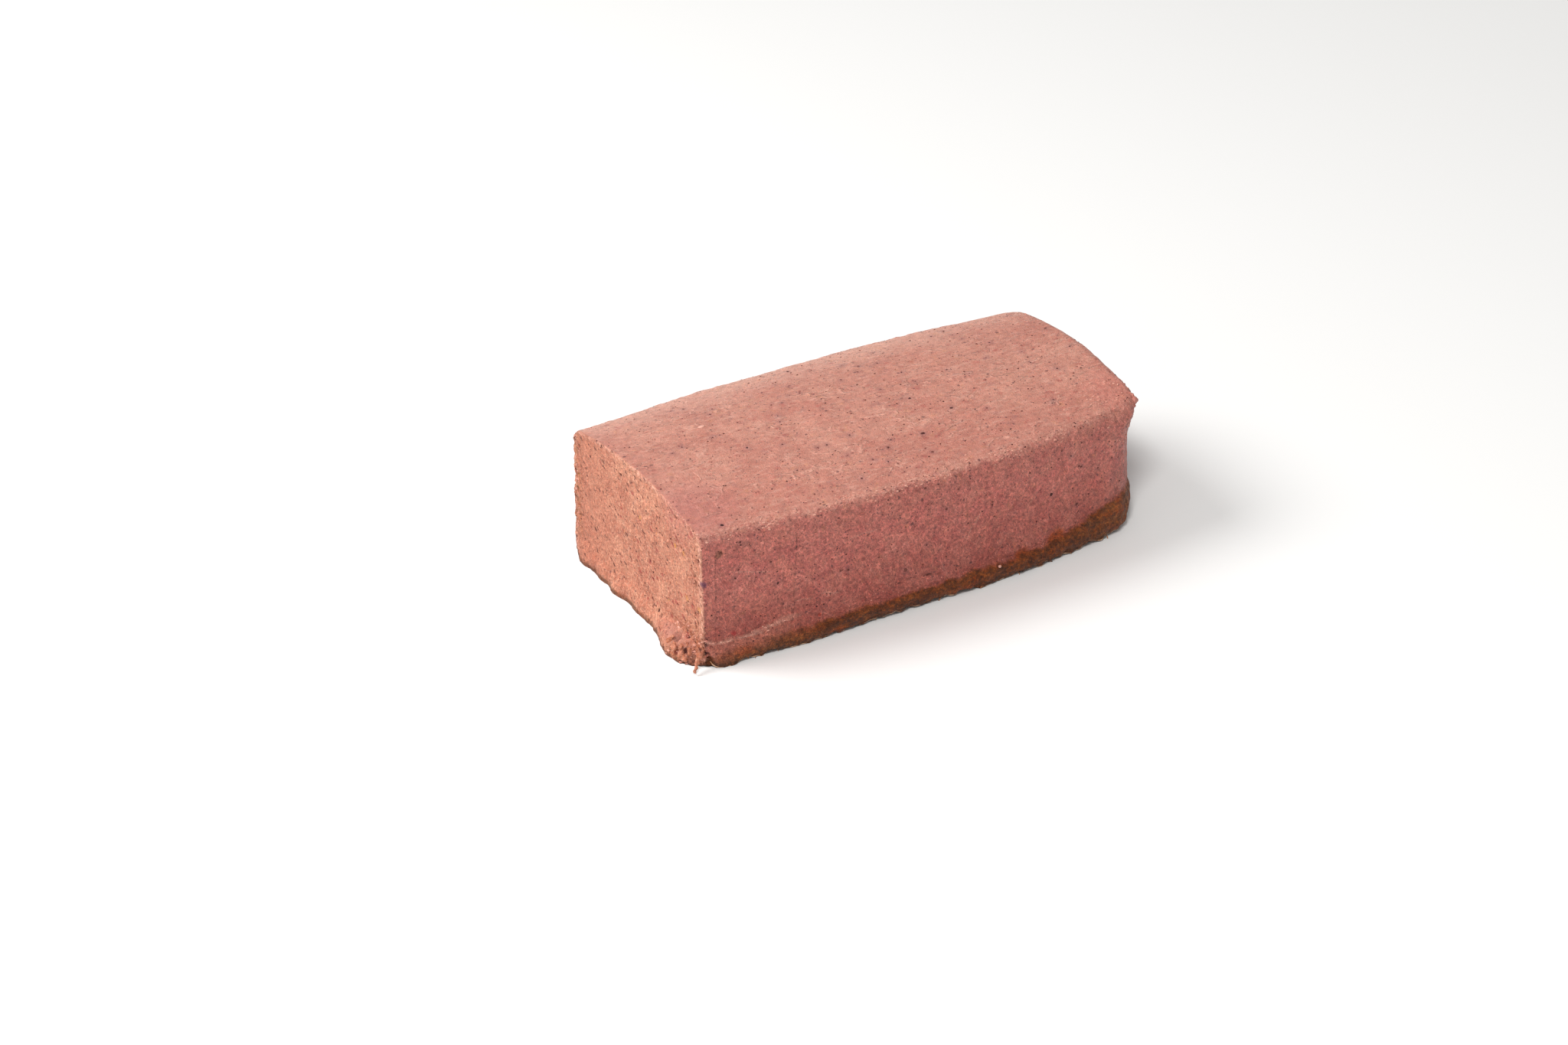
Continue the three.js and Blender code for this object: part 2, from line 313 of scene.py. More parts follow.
lattice, skin_faces = cube_skin((STEPS_LONG, STEPS_WIDE, STEPS_HIGH), SIDE_STEPS)
cube = lattice / np.array([STEPS_LONG, STEPS_WIDE, STEPS_HIGH]) * 2 - 1
smooth = loaf_place(cube[:, 0], cube[:, 1], cube[:, 2])
print(len(smooth), "points and", len(skin_faces), "faces in the skin")

# %% Skin of the loaf
PER_METRE = 1000              # the rule works in millimetres, the frame in metres
MM = 1 / PER_METRE
IN_MM = (PER_METRE, PER_METRE, PER_METRE)


def to_frame(places):
    """From the loaf's millimetres to the frame's metres."""
    return (places - np.array([CUT_FROM_MIDDLE, 0, 0])) / PER_METRE


def new_mesh(name, places, faces):
    mesh = bpy.data.meshes.new(name)
    mesh.from_pydata(to_frame(places).tolist(), [], faces)
    mesh.validate()
    mesh.shade_smooth()
    return mesh


def point_normals(mesh):
    normals = np.empty(len(mesh.vertices) * 3)
    mesh.vertex_normals.foreach_get("vector", normals)
    return normals.reshape(-1, 3)


skin = new_mesh("pate_body", smooth, skin_faces)
normals = point_normals(skin)
print("normals at", len(normals), "points")

# %% [markdown]
# ## Crust, ledge, lip and tear
#
# Under the loaf the crust stands out as a rolled, lumpy ledge, higher at the far end. The
# near shoulder has a crisp crumbly ridge, and the foot of the cut is torn. These are all
# pushes along the normal, weighted by masks. The masks also go into the mesh as named
# attributes, because the relief nodes and the material need the same borders later.

# %% Masks of the sides
def bell(value, middle, reach):
    """1 at the middle, a third at the reach and next to nothing at twice the reach."""
    return np.exp(-(((value - middle) / reach) ** 2))


def away_from(spot, squash=(1, 1, 1)):
    """How far each point of the smooth skin is from one place, in millimetres."""
    return np.linalg.norm((smooth - spot) * squash, axis=1)


t = np.clip(smooth[:, 0] / LENGTH, 0, 1)
x, y, z = smooth.T
fine = lumps(smooth, 2.6, 4.1)
coarse = lumps(smooth, 9.0, 7.7)
slope = np.degrees(np.arctan2(np.hypot(normals[:, 0], normals[:, 1]), normals[:, 2]))
under = smoothstep(-normals[:, 2], 0.6, 0.98)
cut = smoothstep(-normals[:, 0], 0.4, 0.9)
on_near = smoothstep(-y, 40, 50) * (1 - cut)
on_far = smoothstep(y, 40, 50) * (1 - cut)
on_end = smoothstep(x, LENGTH - 14, LENGTH - 4)
outside = np.clip(on_near + on_far + on_end, 0, 1)
softness = smoothstep(np.abs(t - 0.42), 0.2, 0.5)
shaded = slope + 14 * fine + 8 * coarse
side = smoothstep(shaded, lerp(34, 16, softness), lerp(62, 92, softness)) * outside
print("masks for", len(t), "points")

# %% Masks of the crust and the ledge above it
LEDGE_HEIGHT = 12.6
LEDGE_RISE = 3.4

crust_edge = crust_height(t) + 1.6 * coarse + 0.9 * fine
crust = (1 - smoothstep(z - crust_height(t), -1.5, 1)) * (1 - cut)
crust_soft = lerp(3.4, 0.7, smoothstep(x, 20, 75))
browned = (1 - smoothstep((z - crust_edge) / crust_soft, -1, 1)) * (1 - cut)
browned = np.maximum(browned, 0.8 * cut * (1 - smoothstep(z + fine, 1.2, 3.6)))
seam = bell(z - crust_edge, 0.9, 1.1) * smoothstep(x, 35, 80) * (1 - cut)
ledge_top = LEDGE_HEIGHT + 1.4 * bell(x, 0, 7) + LEDGE_RISE * smoothstep(x, 25, 42) + 1.2 * fine
ledge_end = (1 - smoothstep(x, 30, 58)) * on_near
ledge_line = bell(z, ledge_top, 0.75) * ledge_end
bared = (1 - smoothstep(z - ledge_top, -0.8, 0.4)) * ledge_end
print("crust covers", int((browned > 0.5).sum()), "points")

# %% Masks of the ridge, the tears and the cut's rim
RIDGE_DROP = 1.6              # the ridge runs this far below the shoulder
NEAR_FOOT = np.array([0, -half_width(0) - FLARE, 0])
TORN_FROM_FOOT = np.array([1.5, 4, 5])
FAR_CORNER = np.array([238, -46, 64])

ridge_line = shoulder_height(t) - RIDGE_DROP + 1.1 * lumps(smooth * [1, 0, 0], 17, 2.9)
from_ridge = z - ridge_line - 0.5 * fine
ridge = bell(from_ridge, 1.2, 1.7) * np.clip(on_near + 0.6 * on_end, 0, 1)
corner = bell(away_from(FAR_CORNER), 0, 17)
frayed = smoothstep(y, 50, 61) * (1 - smoothstep(x, 1, 7)) * smoothstep(z, 6, 20)
torn = 1 - smoothstep(away_from(NEAR_FOOT + TORN_FROM_FOOT, (1, 0.6, 0.9)), 6, 16)
torn = np.maximum(torn, frayed)
to_rim = np.maximum(np.abs(cube[:, 1]), cube[:, 2]) + (0.024 * fine + 0.02 * coarse)
rim = cut * smoothstep(to_rim, 0.935, 0.975)
rim_pores = cut * bell(to_rim, 0.895, 0.05) * (0.5 + 0.5 * smoothstep(-y, 20, 50))
print("tears cover", int((torn > 0.5).sum()), "points")

# %% Pushes along the normal
RIDGE_CRISP = 1.1             # how far the rounded shoulder is filled out to a crisp edge
CRUST_PROUD = 1.7
CRUST_PROUD_END = 1.3
CRUST_BELLY = 0.9
CRUST_WAVE = 0.7
CRUST_WAVE_LENGTH = 130
LEDGE_PROUD = 0.7
LEDGE_LIP = 0.8
FLAP_PROUD = 3.4
LIP_PROUD = -0.7
SEAM_DEPTH = 0.7
TEAR_DEPTH = 2.2


def crust_push():
    wave = CRUST_WAVE * np.sin(2 * np.pi * (x - 140) / CRUST_WAVE_LENGTH)
    rolled = lerp(CRUST_PROUD + wave, CRUST_PROUD_END, smoothstep(t, 0.8, 0.95))
    height_share = np.clip(z / crust_height(t), 0, 1)
    rolled = rolled + CRUST_BELLY * np.sin(np.pi * height_share) - 0.3
    flap = FLAP_PROUD * bell(x, 10, 8)
    flap = flap * smoothstep(-y, 45, 55) * (1 - smoothstep(z, 0, 8))
    ragged = 1.6 * lumps(smooth, 5.5, 8.1) + 1.2 * lumps(smooth, 2.4, 3.7)
    hem = (1 - smoothstep(z, 1.5, 4.5)) * ragged
    return rolled + flap + hem + 0.7 * lumps(smooth, 11, 1.3) + 0.8 * lumps(smooth, 4.0, 6.3)


def ledge_push():
    return LEDGE_PROUD * bared + LEDGE_LIP * ledge_line


def lip_push():
    drop = shoulder_height(t) - 6 - z
    flat = 1 - smoothstep(np.abs(normals[:, 2]), 0.3, 0.9)
    return LIP_PROUD * bell(drop, 0, 7) * smoothstep(t, 0.93, 1) * flat


def ridge_push():
    weight = np.clip(on_near + 0.6 * on_far, 0, 1) * (1 - smoothstep(t, 0.78, 0.95))
    weight = weight * lerp(0.3, 1, smoothstep(t, 0.05, 0.2))
    uneven = 1 + 0.35 * lumps(smooth * [1, 0, 0], 23, 5.2)
    return RIDGE_CRISP * bell(slope, 52, 22) * weight * uneven


def tear_push():
    near = 1 - smoothstep(away_from(NEAR_FOOT), 0, 15)
    return -TEAR_DEPTH * near * (0.55 + lumps(smooth, 4, 2.2))


push = lerp(ledge_push() + ridge_push(), crust_push(), crust) + lip_push()
push = (push - SEAM_DEPTH * seam) * (1 - cut) + tear_push()
shaped = smooth + normals * (push * (1 - under))[:, None]
print("largest push %.2f mm, deepest %.2f mm" % (push.max(), push.min()))

# %% [markdown]
# ## Small wounds in the paste
#
# The near side has a few gashes and one bent fold, where the paste stuck to the tin, and
# holes gape at the foot of the cut. Each is a soft dent with a place, a size and a depth.
# They could be cut with booleans, but a dent this shallow keeps the skin's even faces when
# it is pushed in.

# %% Gashes and holes
GASHES = (                    # along, up, length, height, depth
    (102.4, 17.0, 2.2, 1.1, 1.0),
    (118.0, 16.6, 3.4, 1.2, 1.1),
    (123.5, 15.2, 2.4, 0.9, 0.9),
    (10.4, 58.8, 2.0, 1.2, 1.0),
    (8.6, 57.6, 1.1, 0.9, 0.8),
    (30.0, 14.5, 4.0, 0.7, 0.6),
)
HOLES = (                     # along, across, up, radius, depth
    (1.0, -62.0, 13.0, 1.5, 2.2),
    (-1.5, -60.0, 8.0, 1.3, 2.0),
    (-4.0, -52.0, 7.0, 1.6, 1.6),
    (-2.0, -48.0, 13.0, 1.2, 1.2),
    (-1.0, -40.8, 54.8, 1.0, 0.9),
)

wound = np.zeros(len(t))
for along, high, long, tall, deep in GASHES:
    tilted = (z - high) + 0.12 * (x - along)
    dent = np.exp(-(((x - along) / long) ** 2) - (tilted / tall) ** 2) * on_near
    wound = np.maximum(wound, deep * dent * (1 + 0.5 * fine))
for along, across, high, radius, deep in HOLES:
    spot = smooth[np.argmin(away_from([along, across, high]))]
    wound = np.maximum(wound, deep * bell(away_from(spot), 0, radius))
print("gashes:", len(GASHES), "holes:", len(HOLES))

# %% One fold on the near side, bent like a bow
FOLD_START = np.array([131.8, 67.0])    # along, up
FOLD_MIDDLE = np.array([138.0, 63.0])
FOLD_END = np.array([142.4, 54.0])
FOLD_STEPS = 15
FOLD_HALF_WIDTH = 1.0
FOLD_DEPTH = 0.6

fold = np.zeros(len(t))
for share in np.linspace(0, 1, FOLD_STEPS):
    spot = lerp(lerp(FOLD_START, FOLD_MIDDLE, share), lerp(FOLD_MIDDLE, FOLD_END, share), share)
    dent = bell(np.hypot(x - spot[0], z - spot[1]), 0, FOLD_HALF_WIDTH) * on_near
    fold = np.maximum(fold, dent * (1 - 0.5 * share))
shaped = shaped - normals * (FOLD_DEPTH * fold)[:, None]
shaped = shaped - normals * wound[:, None]
shaped[:, 2] = np.maximum(shaped[:, 2], 0)
skin = new_mesh("pate_body", shaped, skin_faces)
print("fold covers", int((fold > 0.5).sum()), "points")


# %% Masks kept on the skin
def store_mask(mesh, name, mask):
    """Keeps a number for each point of the mesh, as a named attribute."""
    layer = mesh.attributes.new(name, "FLOAT", "POINT")
    layer.data.foreach_set("value", mask.astype(np.float32))


for name, mask in (
    ("cut", cut),
    ("crust", browned),
    ("under", under),
    ("side", side),
    ("ridge", ridge),
    ("wound", wound),
    ("torn", torn),
    ("bared", np.maximum(bared, ledge_line)),
    ("rim", rim),
    ("seam", seam),
    ("rim_pores", rim_pores),
    ("fold", fold),
    ("frayed", frayed),
    ("ledge", ledge_line),
    ("corner", corner),
):
    store_mask(skin, name, mask)

body = new_object("pate_body", skin)
print("masks on the skin:", len(skin.attributes))

# %% [markdown]
# ## A helper for node trees
#
# Geometry Nodes and materials are both trees of nodes, and in both a formula is a chain
# of small Math nodes. This helper adds a node, sets its sockets by name and links what it
# is given, so that a formula in the script reads nearly as it would on paper.


# %% Node helper
class Nodes:
    def __init__(self, tree):
        self.tree = tree

    def feed(self, socket, value):
        if isinstance(value, bpy.types.NodeSocket):
            self.tree.links.new(value, socket)
        elif value is not None:
            socket.default_value = value

    def add(self, kind, settings=None, **inputs):
        node = self.tree.nodes.new(kind)
        for name, value in (settings or {}).items():
            setattr(node, name, value)
        for name, value in inputs.items():
            wanted = name.replace("_", " ")
            socket = next(s for s in node.inputs if s.name == wanted and s.enabled)
            self.feed(socket, value)
        return node

    def math(self, operation, *values):
        node = self.add("ShaderNodeMath", {"operation": operation})
        for socket, value in zip(node.inputs, values):
            self.feed(socket, value)
        return node.outputs[0]

    def plus(self, *values):
        total = values[0]
        for value in values[1:]:
            total = self.math("ADD", total, value)
        return total

    def times(self, *values):
        total = values[0]
        for value in values[1:]:
            total = self.math("MULTIPLY", total, value)
        return total

    def minus(self, first, second):
        return self.math("SUBTRACT", first, second)

    def step(self, value, low, high):
        settings = {"interpolation_type": "SMOOTHSTEP"}
        node = self.add("ShaderNodeMapRange", settings, Value=value, From_Min=low, From_Max=high)
        return node.outputs[0]

    def blend(self, share, low, high):
        return self.plus(low, self.times(share, self.minus(high, low)))

    def vector(self, operation, first, second):
        node = self.add("ShaderNodeVectorMath", {"operation": operation})
        self.feed(node.inputs[0], first)
        self.feed(node.inputs[1], second)
        return node.outputs[0]

    def scaled(self, vector, scale):
        """The vector with each of its three numbers multiplied by its own factor."""
        return self.vector("MULTIPLY", vector, scale)

    def grown(self, vector, factor):
        """The vector made longer or shorter by one factor."""
        settings = {"operation": "SCALE"}
        return self.add("ShaderNodeVectorMath", settings, Vector=vector, Scale=factor).outputs[0]

    def turned(self, vector, axis, angle):
        settings = {"rotation_type": axis + "_AXIS"}
        return self.add("ShaderNodeVectorRotate", settings, Vector=vector, Angle=angle).outputs[0]

    def parts(self, vector):
        """The three numbers of a vector or a colour."""
        return self.add("ShaderNodeSeparateXYZ", Vector=vector).outputs

    def shift(self, vector, scale, detail):
        """A random shift of up to half a unit each way, from coloured noise."""
        coloured = self.add("ShaderNodeTexNoise", Vector=vector, Scale=scale, Detail=detail)
        return self.vector("SUBTRACT", coloured.outputs[1], (0.5, 0.5, 0.5))

    def noise(self, vector, size, detail=2.0, roughness=0.5):
        """Noise from 0 to 1 with lumps of that size, in the vector's own unit."""
        node = self.add(
            "ShaderNodeTexNoise",
            {"noise_dimensions": "3D"},
            Vector=vector,
            Scale=1 / size,
            Detail=detail,
            Roughness=roughness,
        )
        return node.outputs[0]

    def wave(self, vector, size, detail=1.0):
        """Noise from -1 to 1."""
        return self.times(self.minus(self.noise(vector, size, detail), 0.5), 2.0)

    def cells(self, vector, size, randomness=1.0):
        """Voronoi cells: the distance to the middle, and a random colour for each."""
        node = self.add(
            "ShaderNodeTexVoronoi",
            {"voronoi_dimensions": "3D", "feature": "F1"},
            Vector=vector,
            Scale=1 / size,
            Randomness=randomness,
        )
        return node.outputs["Distance"], node.outputs["Color"]


# %% [markdown]
# ## Relief by Geometry Nodes
#
# Paste is never quite flat: it swells and dips over centimetres, has a fine grain and is
# creased into shallow folds on the sides, and the cut is full of slanting pores where air
# and fat were. All of this follows one rule over the whole skin, so a Geometry Nodes tree
# makes it from noise and cells. Its sizes are named inputs, in millimetres, and can be
# played with in the modifier panel. The tree also stores where the pores and the crests of
# the folds are, because the material paints shade into the one and a highlight on the other.


# %% Tree helper
def new_geometry_tree(name, inputs):
    """An empty tree with a geometry in and out and a named input for each size."""
    tree = bpy.data.node_groups.new(name, "GeometryNodeTree")
    tree.is_modifier = True
    tree.interface.new_socket("Geometry", in_out="OUTPUT", socket_type="NodeSocketGeometry")
    tree.interface.new_socket("Geometry", in_out="INPUT", socket_type="NodeSocketGeometry")
    for label, value in inputs.items():
        kind = "NodeSocketInt" if isinstance(value, int) else "NodeSocketFloat"
        tree.interface.new_socket(label, in_out="INPUT", socket_type=kind)
    nodes = Nodes(tree)
    given = tree.nodes.new("NodeGroupInput")
    result = tree.nodes.new("NodeGroupOutput")
    return nodes, given.outputs, result.inputs[0]


def run_tree(obj, tree, inputs):
    """Puts the tree on the object, takes its result as a plain mesh and removes it."""
    modifier = obj.modifiers.new(tree.name, "NODES")
    modifier.node_group = tree
    for item in tree.interface.items_tree:
        if item.in_out == "INPUT" and item.name in inputs:
            modifier[item.identifier] = inputs[item.name]
    graph = bpy.context.evaluated_depsgraph_get()
    mesh = bpy.data.meshes.new_from_object(
        obj.evaluated_get(graph), preserve_all_data_layers=True, depsgraph=graph
    )
    obj.modifiers.remove(modifier)
    return mesh


def attribute(nodes, name):
    settings = {"data_type": "FLOAT"}
    return nodes.add("GeometryNodeInputNamedAttribute", settings, Name=name).outputs[0]


def stored(nodes, geometry, name, value):
    """The geometry with a number for each point kept under that name."""
    settings = {"data_type": "FLOAT", "domain": "POINT"}
    inputs = {"Geometry": geometry, "Name": name, "Value": value}
    return nodes.add("GeometryNodeStoreNamedAttribute", settings, **inputs).outputs[0]


# %% Slanting pores
SLANT = 1.0                   # the pores lie over by this angle, down towards the near side
PORE_BEND = 4.0
PORE_SQUEEZE = 0.35           # along the loaf, so that the pores are long that way


def pores(nodes, place, size, share, stretch, radius):
    """Slanting pores: 1 in the middle of each, 0 outside, in a share of the cells."""
    bend = nodes.add("ShaderNodeTexNoise", Vector=place, Scale=0.16, Detail=1.0).outputs[1]
    far = nodes.scaled(bend, (0.0, PORE_BEND, PORE_BEND))
    bent = nodes.vector("ADD", nodes.turned(place, "X", SLANT), far)
    distance, colour = nodes.cells(nodes.scaled(bent, (PORE_SQUEEZE, 1.0, stretch)), size)
    luck, largeness, _ = nodes.parts(colour)
    chosen = nodes.math("LESS_THAN", luck, share)
    reach = nodes.times(nodes.plus(0.45, largeness), radius)
    return nodes.times(chosen, nodes.step(nodes.minus(reach, distance), 0.0, 0.16))


# %% Relief of the moulded skin and of the cut
def moulded_relief(nodes, given, place):
    """Swells and grain all over and folds on the sides, and where their crests are."""
    paste = nodes.plus(
        nodes.times(given["Swell"], nodes.wave(place, 34)),
        nodes.times(given["Dimple"], nodes.wave(place, 13)),
        nodes.times(given["Grain"], nodes.wave(place, 3.4, 0)),
    )
    leaning = nodes.scaled(nodes.turned(place, "Y", 0.4), (1.0, 1.0, 0.4))
    off_crest = nodes.math("ABSOLUTE", nodes.wave(leaning, 8.5, 3))
    patchy = nodes.step(nodes.noise(place, 22, 1), 0.4, 0.6)
    crest = nodes.times(nodes.step(off_crest, 0.34, 0.0), patchy)
    folds = nodes.times(nodes.plus(off_crest, nodes.times(crest, 0.6)), given["Side Fold"])
    return nodes.plus(paste, nodes.times(folds, attribute(nodes, "side"))), crest


def cut_relief(nodes, given, place):
    """What the knife left, and where the pores are."""
    near_rim = attribute(nodes, "rim_pores")
    share = nodes.plus(0.22, nodes.times(near_rim, 0.6))
    large = pores(nodes, place, 3.2, nodes.times(share, 0.8), 0.5, 0.2)
    small = pores(nodes, place, 2.0, share, 0.6, 0.24)
    wide = pores(nodes, place, 3.4, nodes.times(near_rim, 0.75), 0.9, 0.36)
    hole = nodes.math("MAXIMUM", large, nodes.times(small, 0.6))
    hole = nodes.math("MAXIMUM", hole, nodes.times(wide, 1.3))
    hole = nodes.times(hole, attribute(nodes, "cut"))
    knife = nodes.plus(
        nodes.times(given["Knife Drag"], nodes.wave(place, 26)),
        nodes.times(given["Cut Grain"], nodes.wave(place, 1.7, 3)),
        nodes.times(hole, given["Pore Depth"], -1.0),
    )
    return knife, hole


# %% Relief tree
RELIEF = {
    "Swell": 0.55,
    "Dimple": 0.32,
    "Grain": 0.16,
    "Crust Lump": 0.8,
    "Knife Drag": 0.3,
    "Cut Grain": 0.34,
    "Pore Depth": 0.9,
    "Ridge Crumble": 1.1,
    "Torn Crumble": 3.0,
    "Torn Hole": 2.2,
    "Side Fold": 1.2,
}


def relief_tree():
    nodes, given, result = new_geometry_tree("paste relief", RELIEF)
    place = nodes.scaled(nodes.add("GeometryNodeInputPosition").outputs[0], IN_MM)
    paste, crest = moulded_relief(nodes, given, place)
    knife, hole = cut_relief(nodes, given, place)
    crust_lumps = nodes.times(given["Crust Lump"], nodes.wave(place, 3.8, 4))
    off_cut = nodes.blend(attribute(nodes, "crust"), paste, crust_lumps)
    crumble = nodes.times(
        given["Ridge Crumble"],
        nodes.plus(attribute(nodes, "ridge"), nodes.times(attribute(nodes, "corner"), 0.8)),
        nodes.math("MAXIMUM", nodes.wave(place, 1.9, 2), -0.5),
    )
    ragged = nodes.times(
        given["Torn Crumble"],
        attribute(nodes, "torn"),
        nodes.minus(nodes.noise(place, 3.4, 3, 0.65), 0.5),
    )
    gaping = nodes.times(pores(nodes, place, 4.6, 0.6, 0.9, 0.36), attribute(nodes, "torn"))
    push = nodes.plus(nodes.blend(attribute(nodes, "cut"), off_cut, knife), crumble, ragged)
    push = nodes.minus(push, nodes.times(gaping, given["Torn Hole"]))
    push = nodes.times(push, nodes.minus(1.0, attribute(nodes, "under")), MM)
    hole = nodes.math("MAXIMUM", hole, gaping)
    # where the pores are, for painted shade, and where the fold crests are, for a painted
    # highlight
    geometry = stored(nodes, given["Geometry"], "pore", hole)
    geometry = stored(nodes, geometry, "crest", crest)
    offset = nodes.grown(nodes.add("GeometryNodeInputNormal").outputs[0], push)
    moved = nodes.add("GeometryNodeSetPosition", Geometry=geometry, Offset=offset)
    nodes.feed(result, moved.outputs[0])
    return nodes.tree


# %% Relief on the skin
def keep_above(mesh, lowest):
    """Lifts every point that lies lower than this, in metres."""
    for vertex in mesh.vertices:
        vertex.co.z = max(vertex.co.z, lowest)


body.data = run_tree(body, relief_tree(), RELIEF)
keep_above(body.data, 0.0)
body.data.shade_smooth()
print("paste relief:", len(body.data.vertices), "points")

# %% [markdown]
# ## Finding the surface
#
# Pepper, crumbs and shreds have to sit in the paste, not near it. A BVH tree answers
# "which point of the skin is nearest to this one, and which way does it face", which is
# all that is needed to seat a piece that has a known place.

# %% Nearest point of the skin
skin_lookup = BVHTree.FromObject(body, bpy.context.evaluated_depsgraph_get())


def on_skin(along, across, high):
    """Point and normal of the skin nearest to a place in the loaf's millimetres."""
    along = (along - CUT_FROM_MIDDLE) / PER_METRE
    place = Vector((along, across / PER_METRE, high / PER_METRE))
    spot, normal, _, _ = skin_lookup.find_nearest(place)
    return spot, normal


# %% Lumps and finished pieces
random = np.random.default_rng(41)


def add_lump(bm, spot, normal, half_sizes, subdivisions=2, sink=0.0):
    """A knobbly lump with these half sizes in mm, its flat way on the surface."""
    start = len(bm.verts)
    bmesh.ops.create_icosphere(bm, subdivisions=subdivisions, radius=1)
    facing = normal.to_track_quat("Z", "Y").to_matrix().to_4x4()
    spin = Matrix.Rotation(random.uniform(0, 2 * math.pi), 4, "Z")
    sizes = Matrix.Diagonal((*(size / PER_METRE for size in half_sizes), 1))
    sunk = spot - normal * (half_sizes[2] / PER_METRE * sink)
    whole = Matrix.Translation(sunk) @ facing @ spin @ sizes
    bm.verts.ensure_lookup_table()
    for vertex in bm.verts[start:]:
        vertex.co = whole @ (vertex.co * random.uniform(0.8, 1.15))


def mesh_of(name, bm):
    """The bmesh as a plain mesh; the bmesh is used up."""
    mesh = bpy.data.meshes.new(name)
    bm.to_mesh(mesh)
    bm.free()
    return mesh


def finished(name, mesh, material):
    """A piece of the loaf: the mesh as an object, smooth, with its material alone."""
    obj = new_object(name, mesh)
    mesh.shade_smooth()
    mesh.materials.clear()
    mesh.materials.append(material)
    print(name, "has", sum(len(p.vertices) - 2 for p in mesh.polygons), "triangles")
    return obj


# %% [markdown]
# ## Materials: helpers and colours
#
# Colours are written as they look on a screen and turned into the linear values that the
# shader works with. Every pattern reads Object coordinates in millimetres, so its grain
# keeps its real size, and every border reads the masks stored on the skin.


# %% Colour helpers
def screen(red, green, blue):
    def linear(value):
        value = value / 255
        return value / 12.92 if value <= 0.04045 else ((value + 0.055) / 1.055) ** 2.4

    return (linear(red), linear(green), linear(blue), 1.0)


class Finish(Nodes):
    """A material's tree, with its shader and millimetre coordinates."""

    def __init__(self, name):
        self.material = bpy.data.materials.new(name)
        self.material.use_nodes = True
        super().__init__(self.material.node_tree)
        self.shader = self.tree.nodes["Principled BSDF"]
        coordinates = self.add("ShaderNodeTexCoord").outputs["Object"]
        self.place = self.scaled(coordinates, IN_MM)

    def mask(self, name):
        node = self.tree.nodes.new("ShaderNodeAttribute")
        node.attribute_name = name
        return node.outputs["Fac"]

    def mix(self, share, low, high):
        node = self.add("ShaderNodeMix", {"data_type": "RGBA"}, Factor=share, A=low, B=high)
        return next(s for s in node.outputs if s.enabled)

    def tint(self, colour, share, strength, tint):
        """The colour with that strength of a tint wherever the share is 1."""
        return self.mix(self.times(share, strength), colour, tint)

    def patches(self, size, low, high, detail=2.0, roughness=0.5, place=None):
        """Noise in patches of that size: 0 where it is low, 1 where it is high."""
        place = self.place if place is None else place
        return self.step(self.noise(place, size, detail, roughness), low, high)

    def shade(self, colour, value):
        """Makes the colour lighter or darker by a factor."""
        node = self.add("ShaderNodeHueSaturation", Value=value, Color=colour)
        return node.outputs[0]

    def textured(self, colour, pattern, *depths):
        """The colour, darker and lighter with a pattern from 0 to 1."""
        swing = self.times(self.minus(pattern, 0.5), *depths)
        return self.shade(colour, self.plus(1.0, swing))

    def bump(self, height, distance, strength=1.0, under=None):
        node = self.add("ShaderNodeBump", Height=height, Distance=distance, Strength=strength)
        if under is not None:
            self.tree.links.new(under, node.inputs["Normal"])
        return node.outputs[0]

    def waxy(self, weight, radius, scale):
        """Lets light a little way in, red the farthest, as meat and fat do."""
        self.shader.inputs["Subsurface Weight"].default_value = weight
        self.shader.inputs["Subsurface Radius"].default_value = radius
        self.shader.inputs["Subsurface Scale"].default_value = scale

    def finish(self, colour, roughness, normal=None):
        self.feed(self.shader.inputs["Base Color"], colour)
        self.feed(self.shader.inputs["Roughness"], roughness)
        if normal is not None:
            self.feed(self.shader.inputs["Normal"], normal)
        return self.material


# %% [markdown]
# ## Paste and crust
#
# One material covers the skin. The paste is a salmon pink that turns mauve down the sides
# and warmer and paler on the dry cut. Mottling of several sizes, lengthwise streaks on the
# top, thin wrinkles, red bits and grey-violet smudges break it up. Below the browned border
# the colour goes to crust, with orange-brown patches of grease. Painted shade darkens the
# foot of the sides, the crust's lower edge, the far side of the cut and the pores, holes and
# creases; painted highlights lie along the top's far edge, the ridge, the ledge, the folds
# and the crust. Three materials on picked faces would leave hard borders, so one material
# blends them by masks.

# %% Paste colours
TOP_PINK = screen(194, 133, 115)
TOP_PALE_AND_SHEEN = screen(214, 163, 145)
TOP_ROSE = screen(183, 117, 101)
SIDE_PINK = screen(211, 125, 110)
SIDE_MAUVE = screen(196, 106, 98)
SIDE_FOOT_SHADE = screen(150, 69, 53)
CUT_PINK = screen(203, 138, 110)
CUT_PALE = screen(224, 170, 143)
CUT_ROSE = screen(180, 109, 85)
HOLLOW_SHADE = screen(92, 40, 30)
SPECK_DARK = screen(92, 54, 54)
MEAT_RED = screen(150, 50, 46)
FAT_OCHRE = screen(206, 140, 84)
SMUDGE = screen(122, 78, 84)
PALE_AND_HIGHLIGHT = screen(228, 172, 152)
SIDE_HIGHLIGHT = screen(226, 146, 130)
STROKE_RED = screen(150, 68, 62)
FRAY_TAN = screen(176, 126, 88)
FOOT_BROWN = screen(160, 84, 48)
CRUST_BROWN = screen(138, 69, 20)
CRUST_DARK = screen(100, 45, 10)
CRUST_TAN = screen(168, 106, 56)
CRUST_ORANGE = screen(166, 72, 10)


